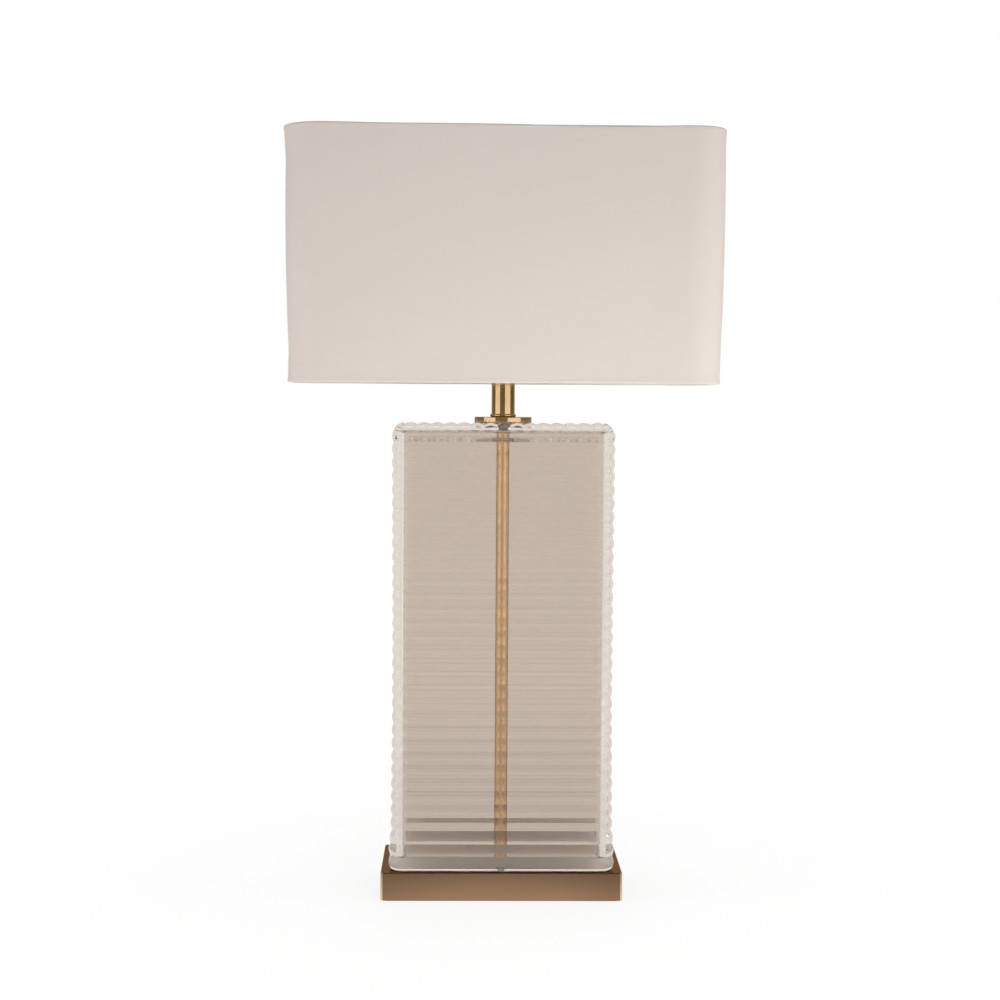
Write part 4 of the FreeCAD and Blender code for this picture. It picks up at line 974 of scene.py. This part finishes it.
class DressLampholder(bpy.types.Operator):
    """Build the lampholder's threaded skirt and finish the rest of it"""
    bl_idname = "lamp.dress_lampholder"
    bl_label = "Lampholder"

    def execute(self, context):
        stand_for(build_shell(), "lamp", "lampholder_brass", "lampholder_shell")
        finish_nodes("lampholder_brass", "lampholder_cap", "shade_ring")
        finish_nodes("porcelain", "lampholder_insert")
        finish_nodes("contact_brass", "lampholder_screw_contact", "lampholder_centre_contact",
                     "lampholder_terminals")
        finish_nodes("zinc_steel", "lampholder_grub_screw", "lampholder_terminal_screws")
        return {"FINISHED"}


class DressBulb(bpy.types.Operator):
    """Build the bulb's screw cap and finish the rest of it"""
    bl_idname = "lamp.dress_bulb"
    bl_label = "Bulb"

    def execute(self, context):
        stand_for(build_bulb_cap(), "bulb", "bulb_nickel", "bulb_cap")
        finish_nodes("bulb_nickel", "bulb_contact")
        finish_nodes("bulb_black_glass", "bulb_insulator")
        finish_nodes("bulb_white", "bulb_housing")
        finish_nodes("bulb_board", "bulb_led_board")
        finish_nodes("bulb_opal", "bulb_diffuser")
        return {"FINISHED"}


# ---- stage
def set_world(stage):
    """White behind the lamp, even light, and an unlit room in front for metal to show."""
    world = bpy.data.worlds.new("studio")
    bpy.context.scene.world = world
    world.use_nodes = True
    world.node_tree.nodes.clear()
    graph = Graph(world.node_tree)
    path = graph.add("ShaderNodeLightPath").outputs
    place = graph.add("ShaderNodeTexCoord").outputs["Generated"]
    ahead = graph.add("ShaderNodeSeparateXYZ", (0, place)).outputs["Y"]

    def light(strength, colour=(1, 1, 1, 1)):
        return graph.add("ShaderNodeBackground", strength=strength, color=colour).outputs[0]

    room_ends, white_starts = 0.55, 0.85
    behind = graph.spread(ahead, 0.0, 1.0, room_ends, white_starts)
    metal_view = graph.mix(behind, light(1.0, linear(stage.room)), light(1.0))
    lit = graph.mix(path["Is Glossy Ray"], light(stage.world), metal_view)
    seen = graph.maths("MAXIMUM", graph.clear_rays(path), path["Is Camera Ray"])
    graph.add("ShaderNodeOutputWorld", ("Surface", graph.mix(seen, lit, light(1.0))))


def make_floor(stage):
    """A wide pale floor that keeps the lamp's shadow, with glows that paint light and shade near
    the lamp.
    """
    reach = 30.0
    corners = [(-reach, -reach, 0), (reach, -reach, 0), (reach, reach, 0), (-reach, reach, 0)]
    mesh = bpy.data.meshes.new("floor")
    mesh.from_pydata(corners, [], [(0, 1, 2, 3)])
    floor = add_object("floor", mesh)
    material = bpy.data.materials.new("pale_floor")
    material.use_nodes = True
    material.node_tree.nodes.clear()
    graph = Graph(material.node_tree)
    path = graph.add("ShaderNodeLightPath").outputs

    def glow(strength):
        return graph.add("ShaderNodeEmission", ("Strength", strength),
                         color=(1, 1, 1, 1)).outputs[0]

    def paint(part):
        colour = scaled(linear(stage.floor), part)
        return graph.add("ShaderNodeBsdfDiffuse", color=colour).outputs[0]

    def add(first, second):
        return graph.add("ShaderNodeAddShader", (0, first), (1, second)).outputs[0]

    def away(x, y):
        place = graph.add("ShaderNodeTexCoord").outputs["Object"]
        node = graph.add("ShaderNodeVectorMath", (0, place))
        node.operation = "DISTANCE"
        node.inputs[1].default_value = (x, y, 0.0)
        return node.outputs["Value"]

    # each glow runs from its first strength to its second between two distances in metres
    # painted light: in reflections the floor glows brighter near the plinth, like a lit patch
    painted_light_pool = graph.spread(away(0.0, BASE_LOW.y), 1.10, 0.30, 0.06, 0.26)
    # painted shade: seen through the glass, the floor glows dimmer near the lamp
    through_glass_painted_shade = graph.spread(away(0.0, 0.0), 0.80, 0.93, 0.15, 1.20)
    # seen straight on, the glow is dimmer near the lamp: painted shade, on top of the real shadow
    # that the diffuse part keeps
    seen_direct_painted_shade = graph.spread(away(0.0, 0.0), 0.82, 1.00, 0.35, 1.40)
    surface = graph.mix(path["Is Glossy Ray"], paint(1.0), glow(painted_light_pool))
    surface = graph.mix(graph.clear_rays(path), surface, add(glow(through_glass_painted_shade), paint(0.14)))
    surface = graph.mix(path["Is Camera Ray"], surface, add(glow(seen_direct_painted_shade), paint(0.32)))
    graph.add("ShaderNodeOutputMaterial", ("Surface", surface))
    mesh.materials.append(material)


LAMPS_AIM = 0.42       # height that every lamp of the stage faces


def add_lamp(name, azimuth, distance, width, tall, height, strength, for_metal=False):
    """A soft square lamp that faces the lamp's axis, for metal to show or for light."""
    data = bpy.data.lights.new(name, "AREA")
    data.shape = "RECTANGLE"
    data.size, data.size_y = width, tall
    data.energy = strength * math.pi * width * tall
    lamp = add_object(name, data)
    turn = math.radians(azimuth)
    lamp.location = (distance * math.sin(turn), -distance * math.cos(turn), height)
    aim = Vector((0, 0, LAMPS_AIM)) - lamp.location
    lamp.rotation_euler = aim.to_track_quat("-Z", "Y").to_euler()
    lamp.visible_camera = False
    lamp.visible_diffuse = not for_metal
    lamp.visible_glossy = for_metal
    lamp.visible_transmission = for_metal


def make_camera(stage):
    """The photograph's own view of the lamp."""
    turn, down = math.radians(stage.azimuth), math.radians(stage.pitch)
    data = bpy.data.cameras.new("camera")
    data.sensor_width = 36.0
    data.lens = stage.lens
    camera = add_object("camera", data)
    camera.location = (-stage.distance * math.sin(turn), -stage.distance * math.cos(turn),
                       stage.height)
    turn -= math.radians(stage.pan)
    ahead = Vector((math.sin(turn) * math.cos(down), math.cos(turn) * math.cos(down),
                    -math.sin(down)))
    tilt = Matrix.Rotation(math.radians(stage.roll), 3, "Z").to_quaternion()
    camera.rotation_mode = "QUATERNION"
    camera.rotation_quaternion = ahead.to_track_quat("-Z", "Y") @ tilt
    bpy.context.scene.camera = camera


class SetStage(bpy.types.Operator):
    """Set up the floor, the light and the camera"""
    bl_idname = "lamp.set_stage"
    bl_label = "Stage"

    def execute(self, context):
        stage = settings("stage")
        context.scene.view_settings.view_transform = "Standard"
        context.scene.cycles.max_bounces = 24
        context.scene.cycles.transmission_bounces = 24
        context.scene.cycles.glossy_bounces = 12
        set_world(stage)
        make_floor(stage)
        add_lamp("left_softbox", -58.0, 1.30, 1.25, 1.0, 0.40, stage.softbox, True)
        add_lamp("right_softbox", 46.0, 1.20, 1.30, 1.0, 0.40, stage.softbox, True)
        add_lamp("key", 12.0, 0.85, 0.7, 0.5, 0.12, stage.key)
        add_lamp("left_fill", -85.0, 1.10, 0.7, 0.5, 0.12, stage.fill)
        add_lamp("right_fill", 85.0, 1.10, 0.7, 0.5, 0.12, stage.fill)
        add_lamp("back_fill", 180.0, 1.30, 0.8, 0.5, 0.25, stage.fill)
        make_camera(stage)
        return {"FINISHED"}


# ---- add-on
GROUPS = (("glass", GlassSettings), ("shade", ShadeSettings), ("metal", MetalSettings),
          ("stage", StageSettings))
STEPS = (DressGlass, DressShade, DressBase, DressNeck, DressLampholder, DressBulb, SetStage)


class LampPanel(bpy.types.Panel):
    """Settings and steps of the lamp"""
    bl_idname = "VIEW3D_PT_lamp"
    bl_label = "Column Table Lamp"
    bl_space_type = "VIEW_3D"
    bl_region_type = "UI"
    bl_category = "Lamp"

    def draw(self, context):
        for step in STEPS:
            self.layout.operator(step.bl_idname)
        for name, group in GROUPS:
            box = self.layout.box()
            for setting in group.__annotations__:
                box.prop(settings(name), setting)


def register():
    for name, group in GROUPS:
        bpy.utils.register_class(group)
        setattr(bpy.types.Scene, "lamp_" + name, bpy.props.PointerProperty(type=group))
    for item in (*STEPS, LampPanel):
        bpy.utils.register_class(item)


def unregister():
    for item in (LampPanel, *reversed(STEPS)):
        bpy.utils.unregister_class(item)
    for name, group in reversed(GROUPS):
        delattr(bpy.types.Scene, "lamp_" + name)
        bpy.utils.unregister_class(group)


def main():
    """Dresses the whole lamp."""
    register()
    make_finishes()
    for step in STEPS:
        group, name = step.bl_idname.split(".")
        getattr(getattr(bpy.ops, group), name)()


if __name__ == "__main__":
    main()
